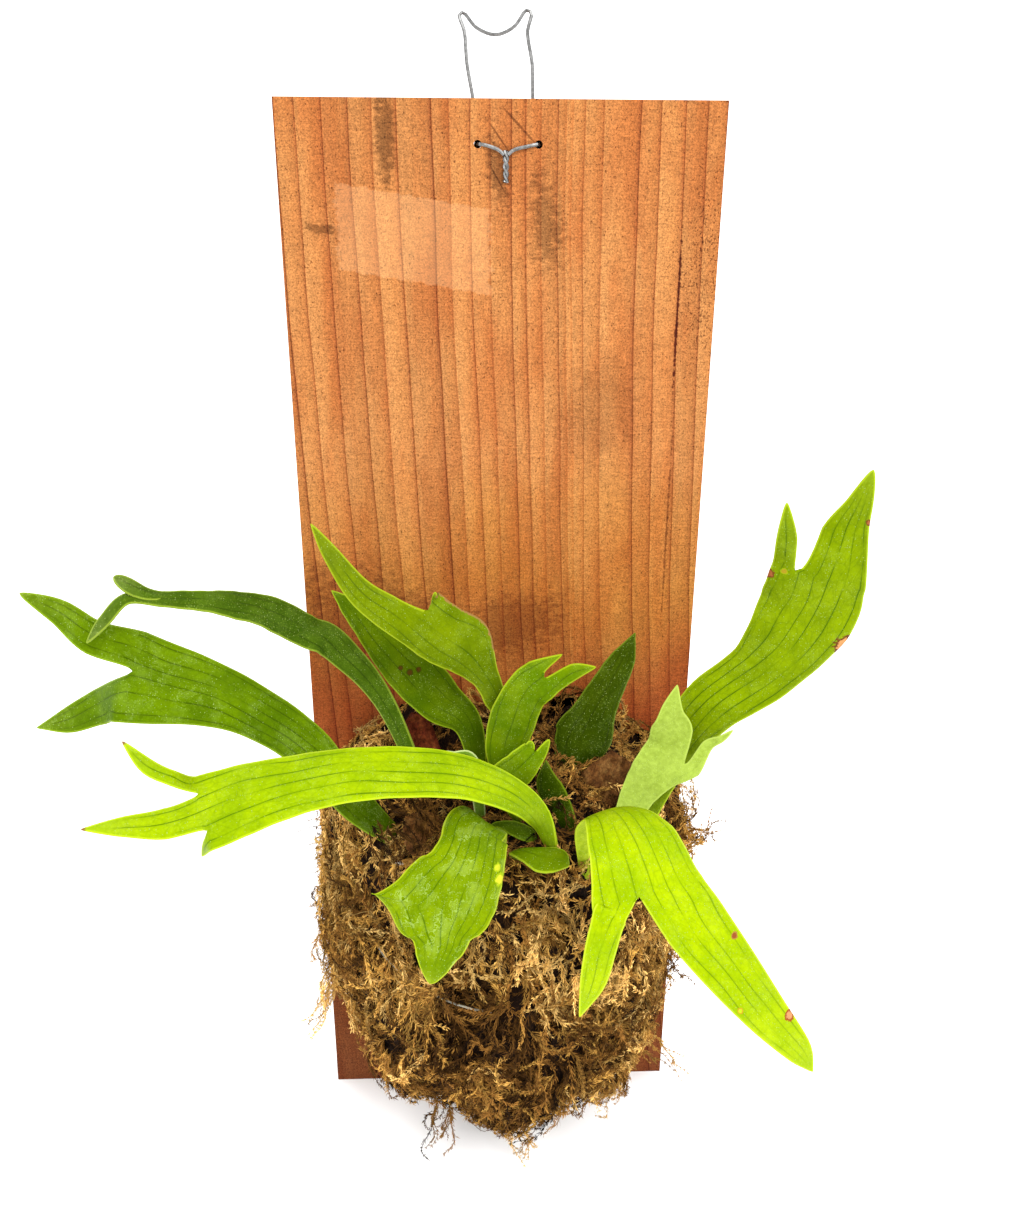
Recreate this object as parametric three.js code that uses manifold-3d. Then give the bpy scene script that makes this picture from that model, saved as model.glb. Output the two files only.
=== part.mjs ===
// A young staghorn fern mounted on an upright softwood board, with a wire hanger at the top.
//
// Millimetres, +Z up, the board's front towards -Y. The origin is the centre of the board's
// back face, which lies against the wall. Heights in this file are counted from the board's
// foot, and the whole assembly is lowered by half the board's height at the end.

import * as THREE from "three";
import { mergeVertices } from "three/addons/utils/BufferGeometryUtils.js";
import Module from "manifold-3d";

const wasm = await Module();
wasm.setup();

// ---------------------------------------------------------------- driving dimensions

const GAP = 0.3; // clear space between two pieces that touch
const BOARD = { width: 184, height: 508, thickness: 19 };
const FRONT = -BOARD.thickness; // y of the board's front face

// The hanger is one length of galvanised wire through two holes below the board's top edge.
// Its ends are twisted together in front, and its bend is the rounding at each hole.
const WIRE = { radius: 0.75, holeRadius: 1.6, holeDrop: 17, holeX: [-10, 15], bend: 1.8 };
const TWIST = { x: 1.5, drop: 2.5, length: 12, turns: 2, spread: 0.6, depth: 0.4 };

// The moss is a half dome on the board. Its radii run sideways, outwards and upwards. It swells
// between up and sideways, most at its shoulders and less low down. The lumps' lengths and
// height are shares of the dome's radius.
const DOME = { centre: [0, FRONT, 125], radii: [87, 106, 107], shoulder: 0.22, squareness: 0.08 };
const MOSS_LUMPS = { waves: 20, longest: 0.7, shortest: 0.28, height: 0.012 };

// The root ball fills the dome, and the fern's crown is a lump on its upper front.
const ROOT_BALL = { radii: [74, 86, 88], crown: [3, -80, 190], crownRadii: [60, 27, 25] };

// Nails beside the dome hold the fishing lines that tie the moss down. Each line leaves its
// nails at one height and crosses the dome's front at another.
const NAIL = { x: 82, shank: 1.1, head: 2.6, headHeight: 1.2, depth: 12, proud: 4, room: 1 };
const TIE = { radius: 0.45, heights: [66, 184], frontHeights: [92, 138], sink: 0.985 };
const TIE_ENDS = { lift: 1.6, emerging: 1.6 };

// A blade is thick and flat at its root. It has its full camber and waves, and its own
// thickness, from the `grown` share of its stem on. Its tip keeps a share of its width.
const BLADE = { thickness: 1.1, rootThickness: 3, camber: 0.12, wave: 0.05, waves: 2.5 };
const GROWTH = { grown: 0.4, tip: 0.2, rows: 2 };

// ---------------------------------------------------------------- colours

const COLOURS = {
  redwood: 0xc07a48,
  wire: 0x8d9092,
  nail: 0x77797a,
  line: 0xb9c2b0,
  rootBall: 0x3a2717,
  moss: 0x74552b,
  shield: 0x8a6440,
  matureGreen: 0x6a8a1c,
  freshGreen: 0xa4cc14,
  darkGreen: 0x4d6d16,
  paleGreen: 0xa9bf6c,
};

// ---------------------------------------------------------------- solids and their joins

const vec = (a) => new THREE.Vector3(a[0], a[1], a[2]);

function solidOf(geometry) {
  const bare = geometry.clone();
  for (const name of Object.keys(bare.attributes)) {
    if (name !== "position") bare.deleteAttribute(name);
  }
  const merged = mergeVertices(bare, 1e-4);
  const mesh = new wasm.Mesh({
    numProp: 3,
    vertProperties: merged.attributes.position.array,
    triVerts: new Uint32Array(merged.index.array),
  });
  return new wasm.Manifold(mesh);
}

function geometryOf(solid) {
  const mesh = solid.getMesh();
  const geometry = new THREE.BufferGeometry();
  geometry.setAttribute("position", new THREE.BufferAttribute(mesh.vertProperties, 3));
  geometry.setIndex(new THREE.BufferAttribute(mesh.triVerts, 1));
  return geometry;
}

// A round rod along a path: the section's corners are swept along the curve.
function rod(points, radius, sides, steps) {
  const section = new THREE.Shape();
  for (let i = 0; i < sides; i++) {
    const turn = (2 * Math.PI * i) / sides;
    const corner = [radius * Math.cos(turn), radius * Math.sin(turn)];
    if (i === 0) section.moveTo(...corner);
    else section.lineTo(...corner);
  }
  section.closePath();
  const extrudePath = new THREE.CatmullRomCurve3(points.map(vec), false, "centripetal");
  return new THREE.ExtrudeGeometry(section, { steps, extrudePath });
}

// A cylinder that runs along Y, from y = from back to y = to.
function dowel(radius, x, from, to, z, sides = 16) {
  const geometry = new THREE.CylinderGeometry(radius, radius, Math.abs(to - from), sides);
  return geometry.translate(x, (from + to) / 2, z);
}

// ---------------------------------------------------------------- fertile fronds

// Each frond is one leathery blade that widens out of a narrow root and forks into lobes.
// A station is [x, y, z, width] on the blade's midline, or [x, y, z, one half, other half] where
// the two sides differ. `face` lists the directions in which the upper side looks, spread evenly
// from the root to the fork. A lobe takes `share` of the columns of points across the blade.
// The shield fronds are short broad papery plates of the same build, cupped by their camber.
const FRONDS = {
  frond_left_forked: {
    colour: "matureGreen",
    stem: [
      [-40, -78, 190, 5],
      [-65, -84, 220, 15],
      [-84, -90, 253, 19],
      [-112, -96, 278, 24],
      [-150, -100, 294, 21, 17],
    ],
    face: [[0.3, -0.8, 0.5], [0.1, -0.8, 0.6]],
    lobes: [
      { share: 2, stations: [[-165, -101, 279, 15], [-177, -102, 274, 11], [-190, -103, 271, 3]] },
      { share: 2, stations: [[-163, -100, 309, 14], [-175, -100, 320, 10], [-189, -100, 328, 5]] },
    ],
  },
  frond_left_arching: {
    colour: "darkGreen",
    stem: [
      [-28, -72, 194, 5],
      [-52, -60, 256, 9],
      [-73, -62, 287, 14],
      [-85, -67, 297, 15],
      [-99, -75, 309, 15],
      [-111, -84, 316, 13],
      [-122, -92, 321, 9],
      [-135, -100, 325, 7],
    ],
    face: [[-0.4, -0.7, 0.6], [0, -0.7, 0.7], [0.1, -0.7, 0.7]],
    lobes: [
      { share: 2, stations: [[-146, -107, 328, 5], [-154, -112, 321, 5], [-160, -117, 314, 3]] },
      { share: 2, stations: [[-142, -104, 330, 6], [-150, -107, 337, 8]] },
    ],
  },
  frond_front_left: {
    colour: "freshGreen",
    stem: [
      [23, -93, 194, 4],
      [12, -106, 229, 11],
      [-10, -114, 249, 18],
      [-37, -122, 259, 21],
      [-68, -130, 262, 23],
      [-94, -136, 259, 26],
      [-117, -140, 253, 30],
    ],
    face: [[-0.4, -0.6, 0.7], [0, -0.6, 0.8], [0.1, -0.7, 0.7]],
    lobes: [
      { share: 1, stations: [[-119, -142, 235, 3]] },
      { share: 2, stations: [[-131, -144, 251, 12], [-145, -147, 252, 8], [-160, -150, 253, 3]] },
      { share: 1, stations: [[-128, -139, 268, 6], [-137, -137, 272, 6], [-146, -134, 281, 3]] },
    ],
  },
  frond_upper_left: {
    colour: "matureGreen",
    stem: [
      [-5, -71, 203, 4],
      [0, -74, 256, 8],
      [-4, -75, 267, 10],
      [-10, -77, 279, 5, 8],
      [-19, -79, 290, 8, 17],
      [-28, -81, 298, 10, 16],
      [-37, -83, 305, 9, 17],
    ],
    face: [[0, -0.9, 0.4]],
    lobes: [
      { share: 3, stations: [[-50, -86, 314, 14], [-60, -89, 324, 11], [-69, -93, 340, 7], [-76, -96, 354, 3]] },
      { share: 1, stations: [[-29, -82, 320, 3]] },
    ],
  },
  frond_behind_left: {
    colour: "darkGreen",
    stem: [
      [-10, -69, 202, 4],
      [-15, -64, 246, 12],
      [-29, -60, 260, 21],
      [-43, -56, 275, 23],
      [-56, -52, 289, 17],
      [-67, -49, 300, 10],
      [-76, -47, 308, 3],
    ],
    face: [[0, -0.9, 0.4]],
  },
  frond_centre_forked: {
    colour: "matureGreen",
    stem: [
      [6, -78, 204, 4],
      [0, -81, 239, 15],
      [2, -82, 257, 20],
      [8, -86, 275, 19],
      [16, -88, 284, 18],
    ],
    face: [[0, -0.95, 0.3]],
    lobes: [
      { share: 2, stations: [[23, -90, 295, 3]] },
      { share: 2, stations: [[28, -90, 287, 7], [37, -92, 290, 3]] },
    ],
  },
  frond_centre_small: {
    colour: "freshGreen",
    stem: [
      [12, -85, 203, 4],
      [1, -90, 230, 12],
      [0, -91, 236, 16],
      [6, -93, 244, 15],
      [12, -94, 252, 11],
    ],
    face: [[0, -0.95, 0.3]],
    lobes: [
      { share: 2, stations: [[10, -94, 257, 4]] },
      { share: 2, stations: [[18, -95, 258, 4]] },
    ],
  },
  frond_centre_young: {
    colour: "paleGreen",
    stem: [
      [-10, -85, 200, 3],
      [-14, -88, 241, 7],
      [-23, -89, 247, 5],
      [-30, -90, 249, 3],
    ],
    face: [[0, -0.9, 0.4]],
  },
  frond_centre_curled: {
    colour: "darkGreen",
    stem: [
      [32, -84, 193, 4],
      [28, -87, 208, 9],
      [23, -84, 220, 13],
      [19, -81, 229, 11],
      [18, -79, 239, 3],
    ],
    face: [[-0.4, -0.9, 0.2]],
  },
  frond_behind_right: {
    colour: "darkGreen",
    stem: [
      [35, -64, 198, 5],
      [32, -62, 229, 16],
      [36, -59, 240, 13, 14],
      [41, -56, 251, 9, 11],
      [48, -51, 261, 8, 8],
      [55, -46, 272, 6, 6],
      [61, -42, 284, 3],
    ],
    face: [[0, -0.95, 0.3]],
  },
  frond_right_forked: {
    colour: "freshGreen",
    stem: [
      [58, -82, 194, 5],
      [71, -86, 241, 17],
      [85, -92, 270, 24],
      [105, -98, 291, 28],
      [118, -103, 316, 38],
      [121, -107, 335, 37],
    ],
    face: [[-0.2, -0.8, 0.5], [-0.2, -0.9, 0.4]],
    lobes: [
      { share: 1, stations: [[106, -110, 351, 8], [104, -112, 366, 4]] },
      { share: 3, stations: [[128, -111, 353, 18], [131, -114, 366, 10], [133, -118, 380, 5]] },
    ],
  },
  frond_right_pale: {
    colour: "paleGreen",
    stem: [
      [46, -90, 195, 4],
      [56, -93, 226, 14],
      [62, -96, 240, 19],
      [69, -98, 252, 15, 11],
    ],
    face: [[0.2, 0.9, -0.3]],
    lobes: [
      { share: 1, stations: [[84, -101, 257, 5], [89, -104, 262, 3], [93, -106, 267, 2]] },
      { share: 3, stations: [[69, -100, 265, 17], [68, -102, 275, 9], [69, -104, 287, 3]] },
    ],
  },
  frond_front_right: {
    colour: "freshGreen",
    stem: [
      [35, -97, 189, 4],
      [32, -112, 223, 8],
      [40, -130, 243, 23],
      [46, -148, 242, 35],
      [52, -160, 227, 21, 23],
    ],
    face: [[0, 0.9, 0.3], [-0.2, 0.5, 0.8], [0, -0.3, 0.95], [0, -0.8, 0.5]],
    lobes: [
      { share: 3, stations: [[69, -168, 218, 25], [81, -176, 204, 22], [94, -183, 189, 17], [106, -188, 176, 11], [112, -190, 167, 4]] },
      { share: 2, stations: [[36, -166, 220, 13], [33, -169, 209, 12], [30, -173, 197, 10], [25, -176, 183, 3]] },
    ],
  },
  frond_front_centre: {
    colour: "matureGreen",
    stem: [
      [-3, -98, 193, 4],
      [-5, -107, 218, 10],
      [-9, -114, 228, 20],
      [-13, -120, 230, 27],
      [-15, -130, 227, 14, 14],
      [-18, -136, 221, 16, 17],
      [-22, -141, 215, 18, 22],
      [-24, -145, 208, 16, 32],
      [-26, -149, 203, 12, 21],
      [-27, -152, 198, 9, 13],
      [-29, -155, 193, 6, 9],
      [-32, -158, 185, 4, 4],
    ],
    face: [[0, 0.95, 0.2], [0.3, -0.4, 0.9], [0.1, -0.8, 0.6], [0, -0.9, 0.5], [0, -0.9, 0.5]],
  },
  frond_front_small: {
    colour: "freshGreen",
    stem: [
      [6, -98, 194, 3],
      [4, -104, 206, 5],
      [5, -109, 212, 9],
      [9, -114, 214, 12],
      [15, -118, 214, 15],
      [21, -121, 215, 12],
      [25, -123, 214, 5],
    ],
    face: [[0, 0.9, 0.4], [-0.2, 0.1, 1], [0, -0.5, 0.9]],
  },
  frond_front_narrow: {
    colour: "darkGreen",
    stem: [
      [-14, -90, 196, 3],
      [-8, -95, 212, 3],
      [-4, -96, 217, 3],
      [3, -96, 215, 7],
      [10, -95, 211, 7],
      [14, -94, 208, 4],
    ],
    face: [[-0.3, -0.5, 0.8]],
  },
  shield_frond_right: {
    colour: "shield",
    stem: [
      [48, -73, 196, 16],
      [49, -72, 212, 30],
      [49, -70, 226, 28],
      [49, -66, 236, 8],
    ],
    face: [[0, -0.95, 0.3]],
    camber: 0.3,
  },
  shield_frond_left: {
    colour: "shield",
    stem: [
      [-30, -58, 200, 8],
      [-36, -56, 226, 16],
      [-40, -54, 244, 13],
      [-42, -52, 250, 4],
    ],
    face: [[0, -0.95, 0.3]],
    camber: 0.3,
  },
  shield_frond_front: {
    colour: "shield",
    stem: [
      [-28, -86, 194, 10],
      [-35, -92, 209, 20],
      [-40, -96, 218, 14],
      [-43, -98, 223, 4],
    ],
    face: [[0, -0.7, 0.7]],
    camber: 0.3,
  },
};

const splineThrough = (points) => new THREE.CatmullRomCurve3(points, false, "catmullrom", 0.5);

// Half widths along a segment, as the x and y of a curve.
function halvesAlong(stations) {
  const halves = stations.map(([, , , a, b]) => (b === undefined ? [a / 2, a / 2] : [a, b]));
  return splineThrough(halves.map(([below, above]) => new THREE.Vector3(below, above, 0)));
}

// The places of the rows along a segment. Where it ends in a round tip, the rows of the last
// interval crowd together and narrow as a quarter circle does.
function rowPlaces(intervals, perInterval, roundTip) {
  const places = [];
  for (let i = 0; i < intervals; i++) {
    for (let k = 1; k <= perInterval; k++) {
      const angle = (Math.PI / 2) * (k / perInterval);
      const round = roundTip && i === intervals - 1;
      places.push({
        at: i + (round ? Math.sin(angle) : k / perInterval),
        narrow: round ? Math.max(Math.cos(angle), GROWTH.tip) : 1,
      });
    }
  }
  return places;
}

// Directions across the blade and out of its upper side, at a share of the way along.
function frameAt(curve, faces, t) {
  const tangent = curve.getTangent(t).normalize();
  const place = Math.min(t, 0.9999) * (faces.length - 1);
  const i = Math.floor(place);
  const face = faces[i].clone().lerp(faces[i + 1], place - i);
  const side = new THREE.Vector3().crossVectors(tangent, face).normalize();
  const up = new THREE.Vector3().crossVectors(side, tangent).normalize();
  return { side, up };
}

// One row of points across the blade: `below` and `above` are the half widths on its two sides.
function rowAcross({ centre, side, up, below, above, camber, ripple, columns }) {
  const row = [];
  for (let c = 0; c <= columns; c++) {
    const v = (2 * c) / columns - 1;
    const lift = ((below + above) / 2) * (camber * (1 - v * v) + ripple * v ** 3);
    const point = centre.clone().addScaledVector(side, v * (v < 0 ? below : above));
    row.push(point.addScaledVector(up, lift));
  }
  return row;
}

// The blade's middle sheet: points with an upward direction and a thickness, and triangles.
// The lobes start from the stem's last row, which they share out between them.
function frondSheet(frond, perInterval, grow = 0) {
  const sheet = { points: [], ups: [], thick: [], triangles: [] };
  const lobes = frond.lobes ?? [];
  const columns = lobes.length ? lobes.reduce((sum, lobe) => sum + lobe.share, 0) : 4;

  const addRow = (row, up, thickness) => {
    const first = sheet.points.length;
    sheet.points.push(...row);
    sheet.ups.push(...row.map(() => up));
    sheet.thick.push(...row.map(() => thickness));
    return row.map((_, i) => first + i);
  };
  const bridge = (a, b) => {
    for (let c = 0; c + 1 < a.length; c++) {
      sheet.triangles.push([a[c], a[c + 1], b[c + 1]], [a[c], b[c + 1], b[c]]);
    }
  };

  const stem = splineThrough(frond.stem.map(vec));
  const stemHalves = halvesAlong(frond.stem);
  const camberOf = frond.camber ?? BLADE.camber;
  const faces = frond.face.map(vec);
  if (faces.length === 1) faces.push(faces[0]);
  const intervals = frond.stem.length - 1;
  const places = rowPlaces(intervals, perInterval, lobes.length === 0);
  let last = null;
  let beforeLast = null;
  for (const { at, narrow } of [{ at: 0, narrow: 1 }, ...places]) {
    const t = Math.min(at / intervals, 1);
    const grown = Math.min(t / GROWTH.grown, 1);
    const { side, up } = frameAt(stem, faces, t);
    const halves = stemHalves.getPoint(t);
    const row = rowAcross({
      centre: stem.getPoint(t),
      side,
      up,
      below: halves.x * narrow + grow,
      above: halves.y * narrow + grow,
      camber: camberOf * grown,
      ripple: BLADE.wave * grown * Math.sin(2 * Math.PI * BLADE.waves * t),
      columns,
    });
    const thickness = THREE.MathUtils.lerp(BLADE.rootThickness, BLADE.thickness, grown);
    const made = addRow(row, up, thickness + 2 * grow);
    if (last) bridge(last, made);
    beforeLast = last;
    last = made;
  }

  const fork = last;
  const behindFork = beforeLast;
  const endFace = faces[faces.length - 1];
  let column = 0;
  lobes.forEach((lobe, n) => {
    const middleOf = (row) => {
      const ends = [row[column], row[column + lobe.share]].map((i) => sheet.points[i]);
      return ends[0].clone().lerp(ends[1], 0.5);
    };
    const base = fork.slice(column, column + lobe.share + 1);
    const baseWidth = sheet.points[base[0]].distanceTo(sheet.points[base[lobe.share]]);
    const knots = [middleOf(behindFork), middleOf(fork), ...lobe.stations.map(vec)];
    const atBase = [0, 0, 0, baseWidth];
    const spans = knots.length - 1;
    const curve = splineThrough(knots);
    const halves = halvesAlong([atBase, atBase, ...lobe.stations]);
    const firstHalf = lobe.stations[0][3] / 2;
    const innerBelow = n > 0;
    const innerAbove = n < lobes.length - 1;
    let previous = base;
    for (const { at, narrow } of rowPlaces(spans - 1, perInterval, true)) {
      const t = Math.min((at + 1) / spans, 1);
      const { side, up } = frameAt(curve, [endFace, endFace], t);
      const outer = halves.getPoint(t).x * narrow + grow;
      const settled = Math.sqrt(1 - (1 - Math.min(at, 1)) ** 2);
      const inner = THREE.MathUtils.lerp(baseWidth / 2, firstHalf * narrow + grow, settled);
      const row = rowAcross({
        centre: curve.getPoint(t),
        side,
        up,
        below: innerBelow && at < 1 ? inner : outer,
        above: innerAbove && at < 1 ? inner : outer,
        camber: camberOf * Math.min(1, (1 + at) / 2),
        ripple: 0,
        columns: lobe.share,
      });
      const made = addRow(row, up, BLADE.thickness + 2 * grow);
      bridge(previous, made);
      previous = made;
    }
    column += lobe.share;
  });
  return sheet;
}

// Thickens the sheet: the same triangles above and below, and a wall round its margin.
function thicken(sheet) {
  const count = sheet.points.length;
  const positions = new Float32Array(count * 6);
  sheet.points.forEach((point, i) => {
    const half = sheet.thick[i] / 2;
    point.clone().addScaledVector(sheet.ups[i], half).toArray(positions, 3 * i);
    point.clone().addScaledVector(sheet.ups[i], -half).toArray(positions, 3 * (count + i));
  });
  const index = [];
  const margin = new Map();
  for (const [a, b, c] of sheet.triangles) {
    index.push(a, b, c, count + c, count + b, count + a);
    for (const [p, q] of [[a, b], [b, c], [c, a]]) {
      if (!margin.delete(`${q} ${p}`)) margin.set(`${p} ${q}`, [p, q]);
    }
  }
  for (const [p, q] of margin.values()) {
    index.push(q, p, count + p, q, count + p, count + q);
  }
  const geometry = new THREE.BufferGeometry();
  geometry.setAttribute("position", new THREE.BufferAttribute(positions, 3));
  geometry.setIndex(index);
  return geometry;
}

// ---------------------------------------------------------------- moss and root ball

// A ball of radius 1 whose surface `relief` moves in or out, stretched to three radii.
function blob(centre, radii, detail, relief = () => 1) {
  const ball = new THREE.IcosahedronGeometry(1, detail);
  const position = ball.attributes.position;
  const d = new THREE.Vector3();
  for (let i = 0; i < position.count; i++) {
    d.fromBufferAttribute(position, i).normalize();
    d.multiplyScalar(relief(d)).multiply(vec(radii)).add(vec(centre));
    position.setXYZ(i, d.x, d.y, d.z);
  }
  return ball;
}

// Seeded random numbers from 0 to 1.
function randomFrom(seed) {
  let state = seed;
  return () => {
    state = (1664525 * state + 1013904223) % 4294967296;
    return state / 4294967296;
  };
}

const swellAt = (height) => (height > 0 ? DOME.shoulder : DOME.squareness);

// Lumps of moss: waves of several lengths that cross in random directions.
function mossRelief() {
  const random = randomFrom(7);
  const waves = Array.from({ length: MOSS_LUMPS.waves }, (_, i) => {
    const pitch = THREE.MathUtils.lerp(MOSS_LUMPS.longest, MOSS_LUMPS.shortest, i / MOSS_LUMPS.waves);
    const way = new THREE.Vector3(random() - 0.5, random() - 0.5, random() - 0.5).normalize();
    return { way: way.multiplyScalar((2 * Math.PI) / pitch), phase: 2 * Math.PI * random() };
  });
  return (d) => {
    const rise = waves.map(({ way, phase }) => Math.sin(way.dot(d) + phase));
    const corner = swellAt(d.z) * 4 * d.x ** 2 * d.z ** 2;
    return 1 + corner + MOSS_LUMPS.height * rise.reduce((sum, r) => sum + r, 0);
  };
}

// A block that fills the space behind the plane y = back, to cut a dome flat with.
function behind(back) {
  const size = 4 * DOME.radii[2];
  const block = new THREE.BoxGeometry(size, size, size);
  return solidOf(block.translate(0, back + size / 2, DOME.centre[2]));
}

// How far the dome without its lumps stands out from the board at x and z. Each pass squares
// its corner more truly.
function domeDepth(x, z) {
  const across = (x / DOME.radii[0]) ** 2;
  const upward = ((z - DOME.centre[2]) / DOME.radii[2]) ** 2;
  const swell = swellAt(z - DOME.centre[2]);
  let outward = 1;
  for (let i = 0; i < 8; i++) {
    const corner = (swell * 4 * across * upward) / (across + upward + outward) ** 2;
    outward = Math.max((1 + corner) ** 2 - across - upward, 0);
  }
  return DOME.radii[1] * Math.sqrt(outward);
}

function rootBallSolid(gap) {
  const core = solidOf(blob(DOME.centre, ROOT_BALL.radii.map((r) => r + gap), 5));
  const crown = solidOf(blob(ROOT_BALL.crown, ROOT_BALL.crownRadii.map((r) => r + gap), 4));
  return core.add(crown);
}

// ---------------------------------------------------------------- wire, nails and ties

// The wire runs from the twist in front through a hole, up the back, over and down again. A
// `legs` list is the wire above the board, as [x, distance behind the rise, height above it].
function hangerWire() {
  const { radius, holeDrop, holeX, bend } = WIRE;
  const top = BOARD.height;
  const holeZ = top - holeDrop;
  const back = radius + GAP;
  const front = FRONT - radius - GAP;
  const twistY = front - TWIST.depth;
  const side = (x, toTwist, legs) => [
    [TWIST.x - 0.8 * toTwist, twistY, holeZ - TWIST.drop - 1.5],
    [TWIST.x - 3 * toTwist, front - 0.2, holeZ - TWIST.drop + 0.3],
    [x + 4 * toTwist, front, holeZ - 0.6],
    [x + (bend / 2) * toTwist, front + 0.4, holeZ],
    [x, FRONT + bend * 0.6, holeZ],
    [x, -bend, holeZ],
    [x, back - 0.5, holeZ + 0.8],
    [x, back, holeZ + bend * 1.4],
    ...legs.map(([legX, behindRise, rise]) => [legX, back + behindRise, top + rise]),
  ];
  const leftLegs = [
    [-11.5, 0, 0],
    [-14, 0, 14],
    [-15, 0.3, 26],
    [-17, 0.9, 32],
    [-15.5, 1.7, 33],
    [-10, 2, 27.5],
    [-2, 2, 25],
  ];
  const rightLegs = [
    [13.5, 0, 0],
    [13, 0, 14],
    [11, 0.3, 26],
    [12.5, 0.9, 33],
    [10.5, 1.7, 34],
    [5.5, 2, 28],
  ];
  const left = side(holeX[0], 1, leftLegs);
  const right = side(holeX[1], -1, rightLegs).reverse();
  const loop = solidOf(rod([...left, ...right], radius, 6, 110));
  const strand = (phase) => {
    const points = [];
    for (let i = 0; i <= TWIST.length; i++) {
      const turn = phase + (2 * Math.PI * TWIST.turns * i) / TWIST.length;
      const x = TWIST.x + TWIST.spread * Math.cos(turn);
      const y = twistY + TWIST.depth * Math.sin(turn);
      points.push([x, y, holeZ - TWIST.drop - i]);
    }
    return solidOf(rod(points, radius, 6, 20));
  };
  return loop.add(strand(0)).add(strand(Math.PI));
}

function nail(x, z) {
  const headBack = FRONT - NAIL.proud;
  const shank = solidOf(dowel(NAIL.shank, x, FRONT + NAIL.depth, headBack - NAIL.headHeight / 2, z));
  return shank.add(solidOf(dowel(NAIL.head, x, headBack, headBack - NAIL.headHeight, z)));
}

const nailPlaces = TIE.heights.flatMap((z) => [-1, 1].map((side) => ({ side, x: side * NAIL.x, z })));

// A tie runs from nail to nail in a plane that leans towards the dome's front. It comes out of
// the moss beside each nail.
function tie(height, frontZ, radius) {
  const span = NAIL.x - NAIL.shank - GAP - TIE.radius;
  const points = [];
  for (let i = 0; i <= 16; i++) {
    const turn = (Math.PI * i) / 16;
    const x = -Math.cos(turn) * span;
    const z = THREE.MathUtils.lerp(height, frontZ, Math.sin(turn));
    const emerged = Math.min(1, (Math.sin(turn) * TIE_ENDS.emerging) ** 2);
    points.push([x, FRONT - Math.max(domeDepth(x, z) * TIE.sink * emerged, TIE_ENDS.lift), z]);
  }
  return solidOf(rod(points, radius, 6, 40));
}

// ---------------------------------------------------------------- assembly

const fern = new THREE.Group();
const assembly = new THREE.Group();
assembly.position.z = -BOARD.height / 2;
fern.add(assembly);

function addPiece(name, geometry, colour, roughness = 0.8, metalness = 0) {
  const material = new THREE.MeshStandardMaterial({ color: COLOURS[colour], roughness, metalness });
  const mesh = new THREE.Mesh(geometry, material);
  mesh.name = name;
  assembly.add(mesh);
}

const plank = new THREE.BoxGeometry(BOARD.width, BOARD.thickness, BOARD.height);
let board = solidOf(plank.translate(0, FRONT / 2, BOARD.height / 2));
for (const x of WIRE.holeX) {
  const hole = dowel(WIRE.holeRadius, x, 1, FRONT - 1, BOARD.height - WIRE.holeDrop, 24);
  board = board.subtract(solidOf(hole));
}
for (const { x, z } of nailPlaces) {
  const hole = dowel(NAIL.shank + GAP, x, FRONT + NAIL.depth + GAP, FRONT - 1, z);
  board = board.subtract(solidOf(hole));
}
addPiece("board", geometryOf(board), "redwood", 0.8);
addPiece("hanging_wire", geometryOf(hangerWire()), "wire", 0.4, 1);

let rootBall = rootBallSolid(0).subtract(behind(FRONT - GAP));
let moss = solidOf(blob(DOME.centre, DOME.radii, 12, mossRelief()));
moss = moss.subtract(behind(FRONT - GAP)).subtract(rootBallSolid(GAP * 2));

nailPlaces.forEach(({ side, x, z }) => {
  const row = TIE.heights.indexOf(z) + 1;
  addPiece(`nail_${side < 0 ? "left" : "right"}_${row}`, geometryOf(nail(x, z)), "nail", 0.5, 1);
});
TIE.heights.forEach((height, i) => {
  const frontZ = TIE.frontHeights[i];
  addPiece(`tie_line_${i + 1}`, geometryOf(tie(height, frontZ, TIE.radius)), "line", 0.3);
  moss = moss.subtract(tie(height, frontZ, TIE.radius + GAP));
});
for (const { x, z } of nailPlaces) {
  const end = FRONT - NAIL.proud - NAIL.headHeight - NAIL.room;
  moss = moss.subtract(solidOf(dowel(NAIL.head + NAIL.room, x, FRONT + 1, end, z, 12)));
}

for (const [name, frond] of Object.entries(FRONDS)) {
  addPiece(name, thicken(frondSheet(frond, GROWTH.rows)), frond.colour, 0.5);
  const socket = solidOf(thicken(frondSheet(frond, GROWTH.rows, GAP)));
  rootBall = rootBall.subtract(socket);
  moss = moss.subtract(socket);
}
addPiece("root_ball", geometryOf(rootBall), "rootBall", 1);
addPiece("moss", geometryOf(moss), "moss", 1);

export default fern;
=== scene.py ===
# %% [markdown]
# # A mounted staghorn fern
#
# The object is a young staghorn fern on a redwood board. A wire hanger is threaded through two
# holes at the top, and the roots sit in a dome of sheet moss tied on with fishing line.
#
# The solid model gives every piece its place and size. This lesson loads it as a fixed frame.
# The rigid pieces keep their solid shape and get a finish. Blades, roots and moss are modelled
# again as finer meshes in the same places.

# %% Load the solid model
import math
from collections import defaultdict
from functools import partial

import bpy
import numpy as np
from mathutils import Matrix, Vector


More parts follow.
